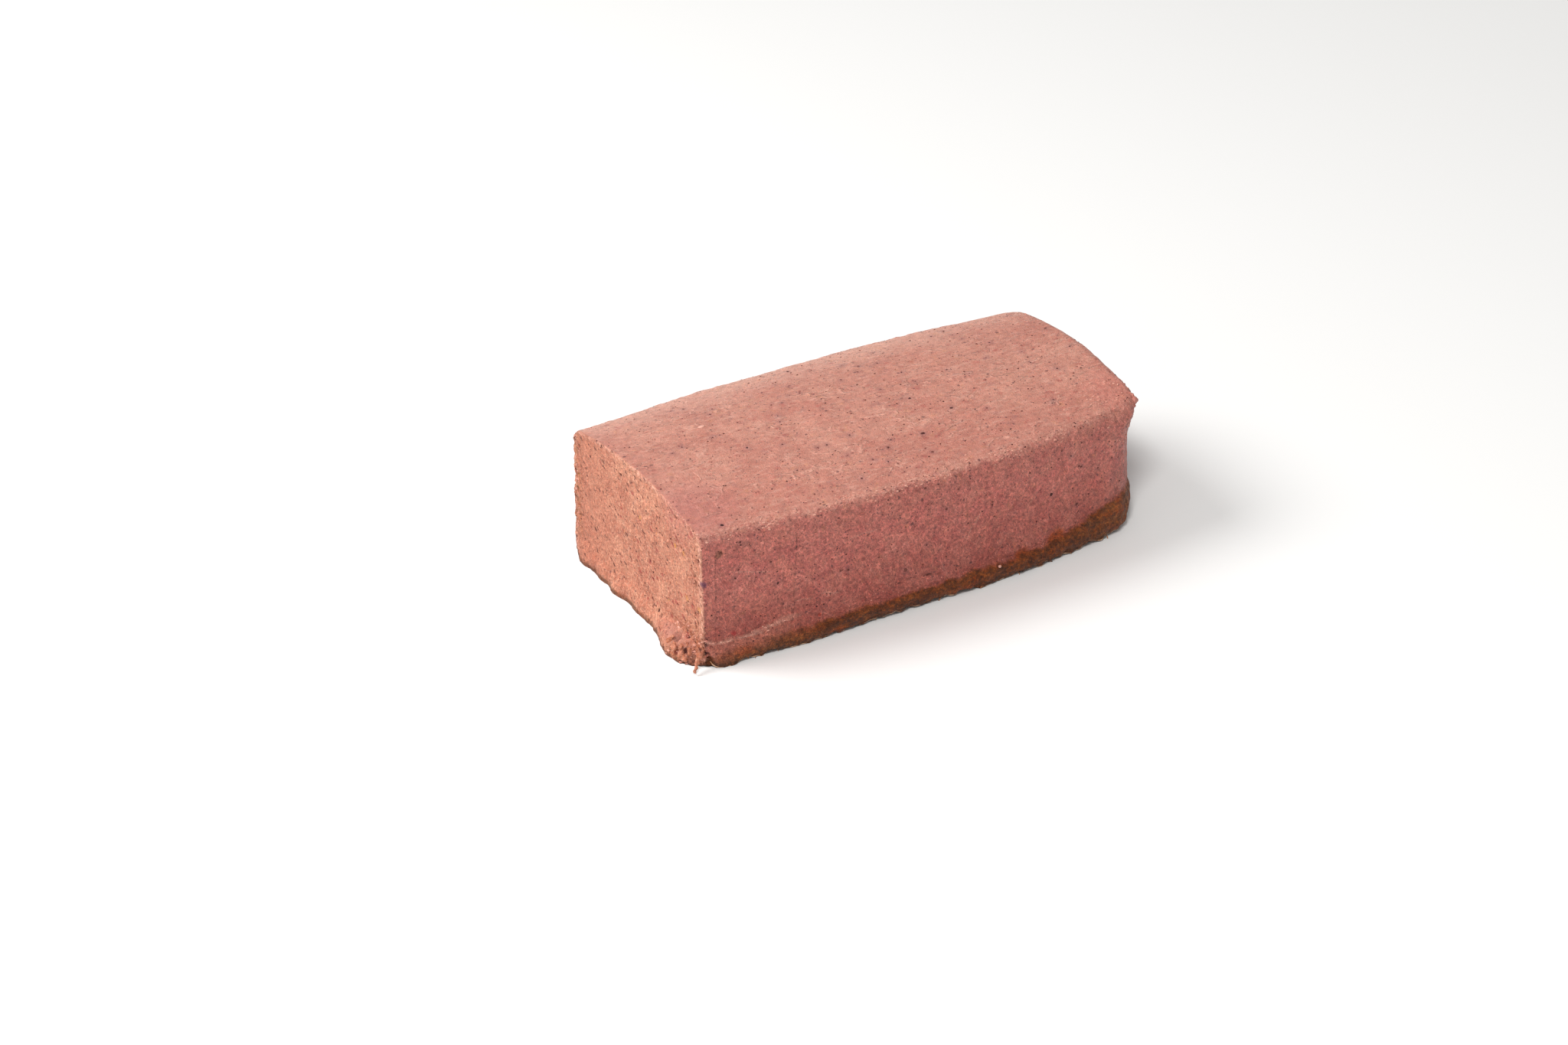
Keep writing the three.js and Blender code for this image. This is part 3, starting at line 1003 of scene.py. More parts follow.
# %% Colour of the top and the sides
def top_colour(f):
    """Salmon with pale streaks, rosier towards the near shoulder, and a painted sheen along the
    far edge.
    """
    across = f.parts(f.place)[1]
    streaks = f.patches(1.0, 0.45, 0.75, 3, 0.6, f.scaled(f.place, (0.15, 0.55, 0.55)))
    rosy = f.minus(f.patches(20, 0.3, 0.7, 4, 0.6), f.times(f.step(across, -22, -52), 0.5))
    colour = f.mix(rosy, TOP_ROSE, TOP_PINK)
    colour = f.tint(colour, streaks, 0.4, TOP_PALE_AND_SHEEN)
    # painted sheen: the top grows paler towards its far edge, as a grazing light makes it look
    return f.tint(colour, f.step(across, 30, 62), 0.7, TOP_PALE_AND_SHEEN)


def side_colour(f):
    """Mauve and pink clouds, darker with painted shade towards the foot and rosier under the
    shoulder.
    """
    height = f.parts(f.place)[2]
    colour = f.mix(f.patches(8, 0.3, 0.7, 3, 0.6), SIDE_MAUVE, SIDE_PINK)
    # painted shade: the side grows darker towards the foot, where less light reaches it
    colour = f.tint(colour, f.step(height, 50, 12), 0.5, SIDE_FOOT_SHADE)
    return f.tint(colour, f.step(height, 44, 66), 0.25, TOP_ROSE)


# %% Colour of the cut
def cut_colour(f):
    """Pale and rosy grains, a pale rim, painted shade towards the far side, and brown patches and
    painted shade in the gaps where the foot is torn.
    """
    across = f.parts(f.place)[1]
    grain = f.noise(f.place, 1.3, 4, 0.7)
    colour = f.mix(f.patches(9, 0.3, 0.7, 4, 0.65), CUT_ROSE, CUT_PINK)
    colour = f.tint(colour, f.step(grain, 0.5, 0.68), 0.6, CUT_PALE)
    colour = f.tint(colour, f.step(grain, 0.5, 0.34), 0.5, CUT_ROSE)
    # painted shade: the cut is darker towards its far side
    colour = f.tint(colour, f.step(across, 10, 62), 0.7, CUT_ROSE)
    broken = f.blend(f.patches(1.7, 0.38, 0.62, 3), 0.05, 0.45)
    colour = f.tint(colour, f.mask("rim"), broken, PALE_AND_HIGHLIGHT)
    ragged = f.times(f.mask("frayed"), f.patches(2.6, 0.4, 0.58, 3))
    colour = f.tint(colour, ragged, 0.7, FRAY_TAN)
    toasted = f.times(f.mask("torn"), f.patches(2.4, 0.44, 0.58, 4, 0.7))
    colour = f.tint(colour, toasted, 0.65, FOOT_BROWN)
    # painted shade in the gaps of the torn foot
    gaps = f.times(f.mask("torn"), f.patches(2.9, 0.57, 0.66, 3, 0.6))
    return f.tint(colour, gaps, 0.7, HOLLOW_SHADE)


# %% Colour of the crust
def crust_colour(f):
    """Brown, tanner at the cut and at the foot, with orange patches of grease and painted shade
    along its lowest few millimetres.
    """
    along, _, height = f.parts(f.place)
    grains = f.noise(f.place, 2.0, 4, 0.7)
    blotches = f.patches(6.0, 0.34, 0.62, 5, 0.7, f.scaled(f.place, (0.6, 1, 1)))
    grease = f.patches(9, 0.52, 0.66, 3, place=f.scaled(f.place, (0.5, 1, 1)))
    bark = f.patches(1.3, 0.35, 0.65, 4, 0.7, f.scaled(f.place, (0.4, 1, 1)))
    near_cut = f.times(f.step(along, -35, -80), 0.18)
    near_foot = f.times(f.step(height, 7, 1), 0.15)
    near_end = f.times(f.step(along, 70, 110), 0.25)
    tan = f.times(f.plus(near_cut, near_foot, near_end), f.step(grains, 0.3, 0.6))
    colour = f.mix(blotches, CRUST_DARK, CRUST_BROWN)
    colour = f.mix(f.math("MINIMUM", tan, 1.0), colour, CRUST_TAN)
    colour = f.tint(colour, grease, 0.6, CRUST_ORANGE)
    colour = f.tint(colour, f.mask("seam"), 0.6, CRUST_ORANGE)
    colour = f.tint(colour, f.step(grains, 0.52, 0.7), 0.3, CRUST_TAN)
    colour = f.shade(colour, f.blend(bark, 0.66, 1.2))
    # painted shade: the crust grows darker over its lowest 4 mm, where the loaf meets the floor
    return f.shade(colour, f.blend(f.step(height, 0.3, 4.2), 0.46, 1.0))


# %% Patterns in the paste
def warped(f, place, size, amount):
    """The place pushed about by noise, so that no pattern on it stays straight."""
    return f.vector("ADD", place, f.grown(f.shift(f.place, 1 / size, 2.0), amount))


def flecks(f, place, size, share, radius, stretch=(1, 1, 1)):
    """Soft-edged flecks in a share of the cells: 1 inside a fleck, 0 outside."""
    distance, colour = f.cells(f.scaled(place, stretch), size)
    luck, largeness, _ = f.parts(colour)
    chosen = f.math("LESS_THAN", luck, share)
    reach = f.times(f.plus(0.35, largeness), radius)
    inside = f.minus(1.0, f.math("DIVIDE", distance, reach))
    return f.times(chosen, f.step(inside, 0.0, 0.45))


def wrinkles(f, place, stretch):
    """Thin wavering lines in patches: where noise crosses its middle."""
    level = f.noise(f.scaled(place, stretch), 9, 2)
    line = f.step(f.math("ABSOLUTE", f.minus(level, 0.5)), 0.032, 0.0)
    return f.times(line, f.patches(14, 0.46, 0.6))


# %% [markdown]
# ## Creases, pale lines and stains
#
# Some marks have a place that anyone would know again: upright creases where the tin's
# lining was folded, drawn as dark lines of painted shade; pale lines, painted highlights
# along thin ridges; and stains of blood, fat and grease. They have no relief that faces
# could carry, so the shader measures how far a point is from each. An image could be
# painted instead, but a line of numbers for each mark stays sharp at any distance.

# %% Creases and pale lines on the near side
# each crease is drawn as a dark line of painted shade
CREASES = (                   # along and up at one end, along and up at the other, strength
    (45.0, 10, 49.4, 66, 1.0),
    (7.0, 9, 8.0, 60, 0.8),
    (10.2, 14, 10.8, 44, 0.4),
    (86.0, 34, 88.5, 64, 0.4),
    (163.0, 26, 161.0, 58, 0.35),
    (109.0, 39, 111.4, 49, 0.5),
    (150.5, 36, 156.0, 47, 0.4),
    (96.0, 30, 99.0, 38, 0.3),
)
# pale lines, each a painted highlight along a thin ridge
LIT_RIDGE_LINES = (                 # the same, but pale
    (13.9, 48.7, 36.7, 42.5, 0.7),
    (72.0, 48.6, 92.1, 49.8, 0.6),
    (46.0, 24.4, 58.0, 22.6, 0.6),
    (58.0, 25.0, 72.0, 22.0, 0.6),
    (138.0, 28.0, 142.6, 36.0, 0.8),
    (142.4, 33.0, 148.2, 43.0, 0.8),
    (59.5, 62.0, 60.1, 46.0, 0.4),
    (172.0, 33.0, 182.2, 44.0, 0.5),
    (196.0, 50.0, 204.0, 58.0, 0.5),
)


LINE_HALF_WIDTH = 0.6
LINE_FADE = 6


def drawn_lines(f, lines):
    """Thin wavering lines on the near side that fade out at both ends."""
    x, y, z = f.parts(warped(f, f.place, 9, 2.0))
    total = 0.0
    for start_x, start_z, end_x, end_z, strength in lines:
        length = math.hypot(end_x - start_x, end_z - start_z)
        run_x = (end_x - start_x) / length
        run_z = (end_z - start_z) / length
        from_x = f.minus(x, start_x - CUT_FROM_MIDDLE)
        from_z = f.minus(z, start_z)
        along = f.plus(f.times(from_x, run_x), f.times(from_z, run_z))
        off = f.math("ABSOLUTE", f.minus(f.times(from_x, run_z), f.times(from_z, run_x)))
        fade = min(LINE_FADE, length / 3)
        between = f.times(f.step(along, 0.0, fade), f.step(along, length, length - fade))
        total = f.plus(total, f.times(f.step(off, LINE_HALF_WIDTH, 0.0), between, strength))
    return f.times(total, f.step(y, -48, -54))


# %% Stains with a place of their own
STAINS = (                    # along, across, up, reach, colour, strength
    (12.0, -38.0, 72.0, 24.0, screen(180, 110, 102), 0.4),
    (238.0, -42.0, 66.0, 22.0, screen(196, 120, 106), 0.5),
    (41.0, -41.0, 73.0, 3.4, screen(190, 92, 80), 0.55),
    (1.4, -59.2, 44.6, 2.5, screen(104, 52, 84), 0.8),
    (82.2, -65.0, 36.0, 1.7, screen(140, 62, 54), 0.6),
    (73.7, -64.7, 34.5, 1.6, screen(128, 62, 70), 0.5),
    (0.0, -11.8, 32.5, 1.7, MEAT_RED, 0.75),
    (0.0, -50.2, 29.0, 1.8, MEAT_RED, 0.75),
    (0.0, 31.0, 40.0, 1.5, MEAT_RED, 0.6),
    (0.0, -35.4, 53.2, 1.5, screen(214, 140, 60), 0.8),
    (0.0, -33.0, 50.0, 1.1, screen(214, 140, 60), 0.7),
    (0.0, 54.2, 38.9, 2.0, screen(206, 136, 66), 0.8),
    (0.0, 56.0, 45.0, 1.5, screen(206, 136, 66), 0.7),
    (16.0, -61.6, 15.3, 2.2, screen(176, 40, 44), 0.7),
    (59.6, -65.0, 13.4, 1.5, screen(190, 60, 36), 0.7),
    (10.0, -59.6, 58.6, 2.8, screen(130, 96, 66), 0.5),
    (171.0, -66.0, 9.6, 6.0, CRUST_ORANGE, 0.8),
    (191.0, -64.0, 12.3, 7.0, CRUST_ORANGE, 0.8),
    (150.0, -67.0, 7.0, 5.0, CRUST_ORANGE, 0.7),
)


def stained(f, ragged, colour):
    """Adds each stain: a soft-edged spot round a place on the loaf."""
    for along, across, high, reach, tint, strength in STAINS:
        apart = f.add("ShaderNodeVectorMath", {"operation": "DISTANCE"})
        f.feed(apart.inputs[0], ragged)
        apart.inputs[1].default_value = (along - CUT_FROM_MIDDLE, across, high)
        near = f.step(apart.outputs["Value"], reach, reach * 0.4)
        colour = f.tint(colour, near, strength, tint)
    return colour


# %% Patterns that colour and relief share
def paste_patterns(f):
    """Masks, grain, wrinkles and lines, each made once for the colour and the bump."""
    p = SimpleNamespace()
    p.cut, p.crust, p.side, p.ridge = (f.mask(m) for m in ("cut", "crust", "side", "ridge"))
    p.bent = warped(f, f.place, 5, 3.0)
    p.ragged = warped(f, p.bent, 0.9, 0.9)
    p.slanted = f.turned(p.ragged, "X", SLANT)
    p.grain = f.patches(0.55, 0.3, 0.7, 2, 0.7)
    p.mottle = f.patches(1.7, 0.32, 0.68, 3, 0.7)
    leaning = f.scaled(f.turned(f.place, "Y", 0.5), (1.0, 1.0, 0.5))
    p.crinkle = f.patches(0.75, 0.34, 0.66, 3, 0.75, leaning)
    p.creases = f.times(drawn_lines(f, CREASES), f.patches(3, 0.36, 0.6))
    p.slits = f.times(flecks(f, p.slanted, 1.9, 0.42, 0.27, (0.5, 1, 0.42)), p.cut)
    over_top = wrinkles(f, p.bent, (0.35, 1, 1))
    down_side = wrinkles(f, f.turned(p.bent, "Y", 0.5), (1, 1, 0.4))
    p.wrinkled = f.times(f.blend(p.side, over_top, down_side), f.minus(1.0, p.cut))
    return p


# %% Colour of the moulded skin
def smudged_colour(f, p):
    """Top and sides with their smudges, red and ochre bits and pepper halos, and a painted
    highlight along the ledge.
    """
    colour = f.mix(p.side, top_colour(f), side_colour(f))
    colour = f.tint(colour, f.mask("bared"), 0.25, CUT_PINK)
    # painted highlight along the ledge line above the bared paste
    colour = f.tint(colour, f.mask("ledge"), 0.6, PALE_AND_HIGHLIGHT)
    colour = f.tint(colour, f.patches(4, 0.58, 0.72, 3), 0.26, SMUDGE)
    reds = f.patches(3, 0.6, 0.74, place=f.scaled(f.place, (0.8, 1.2, 1.2)))
    colour = f.tint(colour, reds, 0.36, MEAT_RED)
    colour = f.tint(colour, f.patches(4.4, 0.6, 0.75, 3), 0.2, FAT_OCHRE)
    return f.tint(colour, f.mask("halo"), 0.45, SMUDGE)


def moulded_colour(f, p):
    """The smudged colour with a pale broken ridge and dark strokes, and painted highlights:
    glints, fine flecks, wrinkles, fold crests and thin lines.
    """
    colour = f.shade(smudged_colour(f, p), f.minus(1.0, f.times(p.ridge, 0.06)))
    # the ridge's pale is partly the paste's own colour and partly a painted highlight on its
    # crinkles
    broken = f.times(p.ridge, f.patches(1.2, 0.42, 0.6, 4, 0.7))
    colour = f.tint(colour, broken, 0.34, PALE_AND_HIGHLIGHT)
    strokes = flecks(f, f.turned(p.ragged, "Y", 0.6), 1.9, 0.34, 0.24, (0.34, 1, 1))
    colour = f.tint(colour, f.times(strokes, p.side), 0.55, STROKE_RED)
    # painted highlights from here on: glints, fine flecks of light and pale wrinkles
    light = f.mix(p.side, PALE_AND_HIGHLIGHT, SIDE_HIGHLIGHT)
    glints = flecks(f, f.turned(p.ragged, "Y", -0.7), 2.3, 0.3, 0.22, (0.3, 1, 1))
    glints = f.times(glints, f.plus(f.times(p.side, 0.3), f.mask("corner"), p.ridge))
    colour = f.tint(colour, f.math("MINIMUM", glints, 1.0), 0.6, light)
    points = flecks(f, p.ragged, 1.2, 0.42, 0.24)
    colour = f.tint(colour, points, f.plus(0.28, f.times(p.side, 0.6)), light)
    colour = f.tint(colour, p.wrinkled, 0.3, light)
    # painted highlight on the crests of the side's folds
    colour = f.tint(colour, f.times(f.mask("crest"), p.side), 0.14, light)
    # painted highlights along thin ridge lines of the near side
    return f.tint(colour, drawn_lines(f, LIT_RIDGE_LINES), 0.5, PALE_AND_HIGHLIGHT)


# %% Bits, pores and specks in the paste
def strewn_colour(f, p, colour):
    """Meat, fat and the painted shade of pores, most on the cut, then fine pepper, stains, and
    painted shade in holes, the fold and the creases.
    """
    bits = flecks(f, p.slanted, 3.8, 0.34, 0.27, (0.6, 1, 0.6))
    colour = f.tint(colour, bits, f.plus(0.3, f.times(p.cut, 0.4)), MEAT_RED)
    fat = flecks(f, p.slanted, 5.5, 0.1, 0.24, (0.6, 1, 0.8))
    colour = f.tint(colour, f.times(fat, p.cut), 0.7, FAT_OCHRE)
    # painted shade in the slanting pores of the cut
    colour = f.tint(colour, p.slits, 0.8, HOLLOW_SHADE)
    small_share = f.plus(0.55, f.times(p.ridge, 0.25), f.times(p.side, 0.2))
    small = flecks(f, p.ragged, 1.8, small_share, 0.24)
    medium = flecks(f, p.ragged, 3.2, 0.35, 0.17, (0.8, 1, 1))
    large = flecks(f, p.ragged, 5.0, 0.45, 0.15, (0.8, 1, 1))
    specks = f.math("MAXIMUM", small, f.math("MAXIMUM", medium, large))
    colour = f.tint(colour, specks, 0.72, SPECK_DARK)
    colour = stained(f, p.ragged, colour)
    # painted shade in the pores and holes of the relief, in the bent fold and along the creases
    colour = f.tint(colour, f.math("MINIMUM", f.mask("pore"), 1.0), 0.72, HOLLOW_SHADE)
    colour = f.tint(colour, f.mask("fold"), 0.3, HOLLOW_SHADE)
    return f.tint(colour, p.creases, 0.55, HOLLOW_SHADE)


# %% Grain of paste and crust
def grained_colour(f, p, colour):
    """Darker and lighter by a grain, a mottle, a crinkle on the sides and broad blotches."""
    depth = f.plus(0.2, f.times(p.side, 0.14), f.times(p.cut, 0.18), f.times(p.crust, 0.3))
    colour = f.textured(colour, p.grain, depth)
    colour = f.textured(colour, p.mottle, f.plus(depth, f.times(p.side, 0.2)))
    colour = f.textured(colour, p.crinkle, p.side, 0.36)
    return f.shade(colour, f.blend(f.patches(3.6, 0.34, 0.66, 3, 0.6), 0.93, 1.07))


def grained_bump(f, p):
    """The relief that is too fine for the mesh."""
    height = f.times(p.mottle, f.plus(0.2, f.times(f.plus(p.side, p.cut), 0.4)))
    crinkled = f.plus(0.1, f.times(p.side, 0.9), f.times(p.crust, 0.3))
    height = f.plus(height, f.times(p.crinkle, crinkled), f.times(p.wrinkled, 0.8))
    height = f.minus(height, f.plus(f.times(p.slits, 1.2), f.times(p.creases, 0.8)))
    return f.bump(height, 0.0006, 0.9, f.bump(p.grain, 0.0002, 0.7))


# %% Paste and crust in one material
def paste_finish():
    f = Finish("pate")
    p = paste_patterns(f)
    colour = f.mix(p.cut, moulded_colour(f, p), cut_colour(f))
    colour = strewn_colour(f, p, colour)
    colour = f.mix(p.crust, colour, crust_colour(f))
    # painted highlights: small pale glints on the crust
    greasy_glints = f.times(flecks(f, p.ragged, 1.6, 0.3, 0.2), p.crust)
    colour = f.tint(colour, greasy_glints, 0.4, CRUST_TAN)
    # painted shade in the gashes and holes
    colour = f.mix(f.step(f.mask("wound"), 0.25, 1.1), colour, HOLLOW_SHADE)
    colour = grained_colour(f, p, colour)
    shine = f.noise(f.place, 7, 3)
    roughness = f.blend(p.cut, f.blend(shine, 0.34, 0.54), 0.72)
    roughness = f.blend(p.crust, roughness, f.blend(shine, 0.45, 0.8))
    f.shader.inputs["Specular IOR Level"].default_value = 0.4
    f.waxy(0.15, (1.0, 0.35, 0.25), 0.0008)
    return f.finish(colour, roughness, grained_bump(f, p))


paste = paste_finish()
body.data.materials.clear()
body.data.materials.append(paste)
print("paste nodes:", len(paste.node_tree.nodes))

# %% [markdown]
# ## Pepper
#
# Ground black pepper shows as hundreds of specks under half a millimetre and a few dozen
# flecks of one or two. The specks follow no order, so Geometry Nodes scatter them over the
# skin from a seed. The large flecks that anyone would notice have places of their own.

# %% Pepper finish
PEPPER_BLACK = screen(60, 34, 34)
PEPPER_BROWN = screen(110, 62, 54)


def pepper_finish():
    f = Finish("pepper")
    colour = f.mix(f.patches(2.2, 0.35, 0.65, 3), PEPPER_BLACK, PEPPER_BROWN)
    bump = f.bump(f.noise(f.place, 0.3, 2), 0.0001, 0.5)
    f.shader.inputs["Specular IOR Level"].default_value = 0.2
    return f.finish(colour, 0.7, bump)


pepper = pepper_finish()

# %% Helpers for what is scattered or swept
def random_size(nodes, smallest, largest, power, seed):
    """A size in metres for each copy; the higher the power, the more are small."""
    luck = nodes.add("FunctionNodeRandomValue", {"data_type": "FLOAT"}, Seed=seed)
    chance = next(s for s in luck.outputs if s.enabled)
    size = nodes.blend(nodes.math("POWER", chance, power), smallest, largest)
    return nodes.times(size, MM)


def painted(nodes, geometry, material, result):
    """Ends a tree: the copies become real geometry and get their material."""
    real = nodes.add("GeometryNodeRealizeInstances", Geometry=geometry)
    coated = nodes.add("GeometryNodeSetMaterial", Geometry=real.outputs[0], Material=material)
    nodes.feed(result, coated.outputs[0])
    return nodes.tree


def scattered(nodes, given, density, grain, power, shape):
    """Copies of a grain on the skin, each lying flat on it."""
    spread = nodes.add(
        "GeometryNodeDistributePointsOnFaces",
        {"distribute_method": "RANDOM"},
        Mesh=given["Geometry"],
        Density=nodes.times(given["Number per Square Metre"], density),
        Seed=given["Seed"],
    )
    size = random_size(nodes, given["Smallest"], given["Largest"], power, given["Size Seed"])
    long, wide, high = (nodes.times(size, share) for share in shape)
    seated = nodes.add(
        "GeometryNodeInstanceOnPoints",
        Points=spread.outputs["Points"],
        Instance=grain,
        Rotation=spread.outputs["Rotation"],
        Scale=nodes.add("ShaderNodeCombineXYZ", X=long, Y=wide, Z=high).outputs[0],
    )
    return seated.outputs[0]


# %% Scattered specks
SPECKS = {
    "Number per Square Metre": 24000.0,
    "Smallest": 0.17,
    "Largest": 0.6,
    "Seed": 7,
    "Size Seed": 3,
}
SPECK_SHAPE = (1.0, 0.75, 0.5)


def speck_tree():
    nodes, given, result = new_geometry_tree("pepper specks", SPECKS)
    covered = nodes.math("MAXIMUM", attribute(nodes, "crust"), attribute(nodes, "under"))
    speck = nodes.add("GeometryNodeMeshIcoSphere", Radius=1.0, Subdivisions=1).outputs[0]
    lying = scattered(nodes, given, nodes.minus(1.0, covered), speck, 2.2, SPECK_SHAPE)
    return painted(nodes, lying, pepper, result)


specks = finished("pepper_specks", run_tree(body, speck_tree(), SPECKS), pepper)

# %% Flecks with a place of their own
TOP_FLECKS = (                # along, across, size
    (134.2, -33.8, 2.3), (138.5, 32.7, 1.2), (112.2, 56.2, 1.2), (144.4, -5.6, 1.5),
    (157.5, -22.7, 1.4), (172.4, -30.5, 1.0), (102.9, -20.3, 1.1), (118.4, -32.9, 1.0),
    (114.2, -37.3, 1.5), (88.6, -22.7, 0.9), (84.8, -22.9, 1.1), (71.0, -12.2, 0.9),
    (55.0, -7.6, 1.3), (45.8, 8.8, 1.0), (93.4, -34.6, 0.9), (130.7, -49.0, 1.3),
    (101.9, -42.4, 0.9), (108.1, -47.4, 0.9), (90.7, -53.3, 0.9), (220.2, -16.8, 1.1),
    (238.1, 20.7, 1.2), (205.0, -38.3, 1.0), (202.6, -40.7, 0.9), (15.7, -55.8, 1.7),
)
SIDE_FLECKS = (               # along, up, size
    (115.9, 64.3, 1.3), (127.3, 48.7, 1.3), (19.9, 62.7, 1.1), (16.3, 44.4, 1.1),
    (29.1, 44.9, 0.8), (38.0, 36.5, 1.2), (39.1, 37.4, 1.0), (73.9, 32.8, 1.4),
    (105.0, 23.8, 1.7), (116.8, 33.1, 1.1), (188.1, 37.0, 1.9), (204.4, 27.0, 1.7),
    (199.8, 54.7, 1.0), (206.5, 46.3, 1.3), (216.5, 41.4, 1.2), (226.2, 34.0, 1.0),
)
CUT_FLECKS = ((42.4, 61.1, 1.2), (-12.0, 33.0, 1.0), (20.0, 44.0, 0.9))   # across, up, size
HIDDEN_FLECKS = 34            # on the far side, and as many on the far half of the top

fleck_lumps = bmesh.new()
fleck_spots = []
places = [(a, c, 80, s) for a, c, s in TOP_FLECKS]
places += [(a, -70, h, s) for a, h, s in SIDE_FLECKS]
places += [(-8, c, h, s) for c, h, s in CUT_FLECKS]
for _ in range(HIDDEN_FLECKS):
    places.append((random.uniform(15, 235), 70, random.uniform(20, 62), random.uniform(0.8, 1.6)))
    places.append((random.uniform(8, 238), random.uniform(-8, 52), 80, random.uniform(0.6, 1.2)))
for along, across, high, size in places:
    spot, normal = on_skin(along, across, high)
    half = (size * 0.62, size * random.uniform(0.36, 0.58), size * 0.28)
    add_lump(fleck_lumps, spot, normal, half, sink=0.4)
    fleck_spots.append(spot)
large_flecks = finished("pepper_flecks", mesh_of("pepper_flecks", fleck_lumps), pepper)

# %% [markdown]
# ## Halos round the pepper
#
# The spice stains the paste round each large fleck a soft grey-violet. The stain is only
# a mask on the skin: one at the fleck, fading to nothing two or three millimetres away.
# A texture could hold it, but an attribute needs no image and follows the skin exactly.

# %% Halo mask
HALO_REACH = 1.7


def halo_mask(mesh):
    count = len(mesh.vertices)
    places = np.empty(count * 3)
    mesh.vertices.foreach_get("co", places)
    places = places.reshape(-1, 3) * PER_METRE
    halo = np.zeros(count)
    for spot in fleck_spots:
        distance = np.linalg.norm(places - np.array(spot) * PER_METRE, axis=1)
        halo = np.maximum(halo, bell(distance, 0, HALO_REACH))
    store_mask(mesh, "halo", halo)


halo_mask(body.data)
print("halos round", len(fleck_spots), "flecks")

# %% [markdown]
# ## Crumbs
#
# Pale crumbs of paste were raised where the loaf dragged against the tin: along the near
# ridge, round the far shoulder and along the edges of the cut. They are the same paste, so
# they share its colours, only lighter. Geometry Nodes scatter them where a mask allows.

# %% Crumb finish
CRUMB_PINK = screen(190, 122, 106)
CRUMB_PALE = screen(214, 154, 135)


def crumb_finish():
    f = Finish("crumbs")
    colour = f.mix(f.patches(1.8, 0.4, 0.62, 3), CRUMB_PINK, CRUMB_PALE)
    f.waxy(0.2, (1.0, 0.4, 0.3), 0.001)
    return f.finish(colour, 0.6, f.bump(f.noise(f.place, 0.5, 3), 0.0002, 0.6))


crumb_paste = crumb_finish()

# %% Where crumbs lie
def crumb_mask(mesh):
    """On the ridge, the far shoulder, the ledge, the torn foot and the edge of the cut."""
    edge = cut * (1 - cut) * 4 * smoothstep(z, 20, 40)
    shoulder = smoothstep(x, LENGTH - 13, LENGTH - 3) * bell(from_ridge, -2, 4)
    patchy = smoothstep(lumps(smooth, 9, 3.3), -0.2, 0.35)
    raised = np.maximum(0.6 * ridge, 0.7 * shoulder) * patchy * (0.35 + 0.4 * (t > 0.1))
    raised = np.maximum(raised, 0.5 * corner * patchy)
    raised = np.maximum(raised, 0.5 * ledge_line)
    raised = np.maximum(raised, 0.3 * torn * cut * (1 - under))
    store_mask(mesh, "crumbly", np.clip(raised + 0.25 * edge, 0, 1))
    print("edge of the cut:", int((edge > 0.5).sum()), "points")


crumb_mask(body.data)

# %% Scattered crumbs
CRUMBS = {
    "Number per Square Metre": 1200000.0,
    "Smallest": 0.16,
    "Largest": 0.7,
    "Seed": 19,
    "Size Seed": 5,
}
CRUMB_SHAPE = (1.3, 0.8, 0.45)


def crumb_tree():
    nodes, given, result = new_geometry_tree("crumbs", CRUMBS)
    ball = nodes.add("GeometryNodeMeshIcoSphere", Radius=1.0, Subdivisions=2).outputs[0]
    shift = nodes.shift(nodes.add("GeometryNodeInputPosition").outputs[0], 1.3, 1.0)
    knobbly = nodes.add("GeometryNodeSetPosition", Geometry=ball, Offset=shift).outputs[0]
    density = attribute(nodes, "crumbly")
    lying = scattered(nodes, given, density, knobbly, 2.5, CRUMB_SHAPE)
    return painted(nodes, lying, crumb_paste, result)


crumbs = finished("paste_crumbs", run_tree(body, crumb_tree(), CRUMBS), crumb_paste)

# %% [markdown]
# ## Torn foot, far shoulder and spur
#
# At the foot of the cut the knife pulled the paste down into ragged lumps and one hanging
# shred, and the far shoulder carries crumbs up to seven millimetres long.
# Lumps laid over each other and fused by a voxel remesh look torn and grown together,
# where separate lumps would look strewn on.


# %% Fused lumps
OFF_FLOOR = 0.0002            # nothing small lies lower than this, in metres


def fused(name, bm, voxel):
    """Fuses what is in the bmesh into one closed skin with a fine grain."""
    obj = new_object(name, mesh_of(name, bm))
    remesh = obj.modifiers.new("fuse", "REMESH")
    remesh.mode = "VOXEL"
    remesh.voxel_size = voxel
    graph = bpy.context.evaluated_depsgraph_get()
    result = bpy.data.meshes.new_from_object(obj.evaluated_get(graph), depsgraph=graph)
    bpy.data.objects.remove(obj)
    for vertex in result.vertices:
        place = vertex.co * PER_METRE
        rough = noise.noise(place / 1.1) * 0.16 + noise.noise(place / 2.6) * 0.3
        vertex.co += vertex.normal * rough / PER_METRE
        vertex.co.z = max(vertex.co.z, OFF_FLOOR)
    return result


# %% Torn foot
TORN_LUMPS = 90
TORN_VOXEL = 0.0004           # in metres, like every voxel, reach and lift below
SHRED_ROOT = (1.5, -57.0, 10.0)
SHRED_TIP = (-5.8, -62.8, 1.2)
SHRED_LUMPS = 20

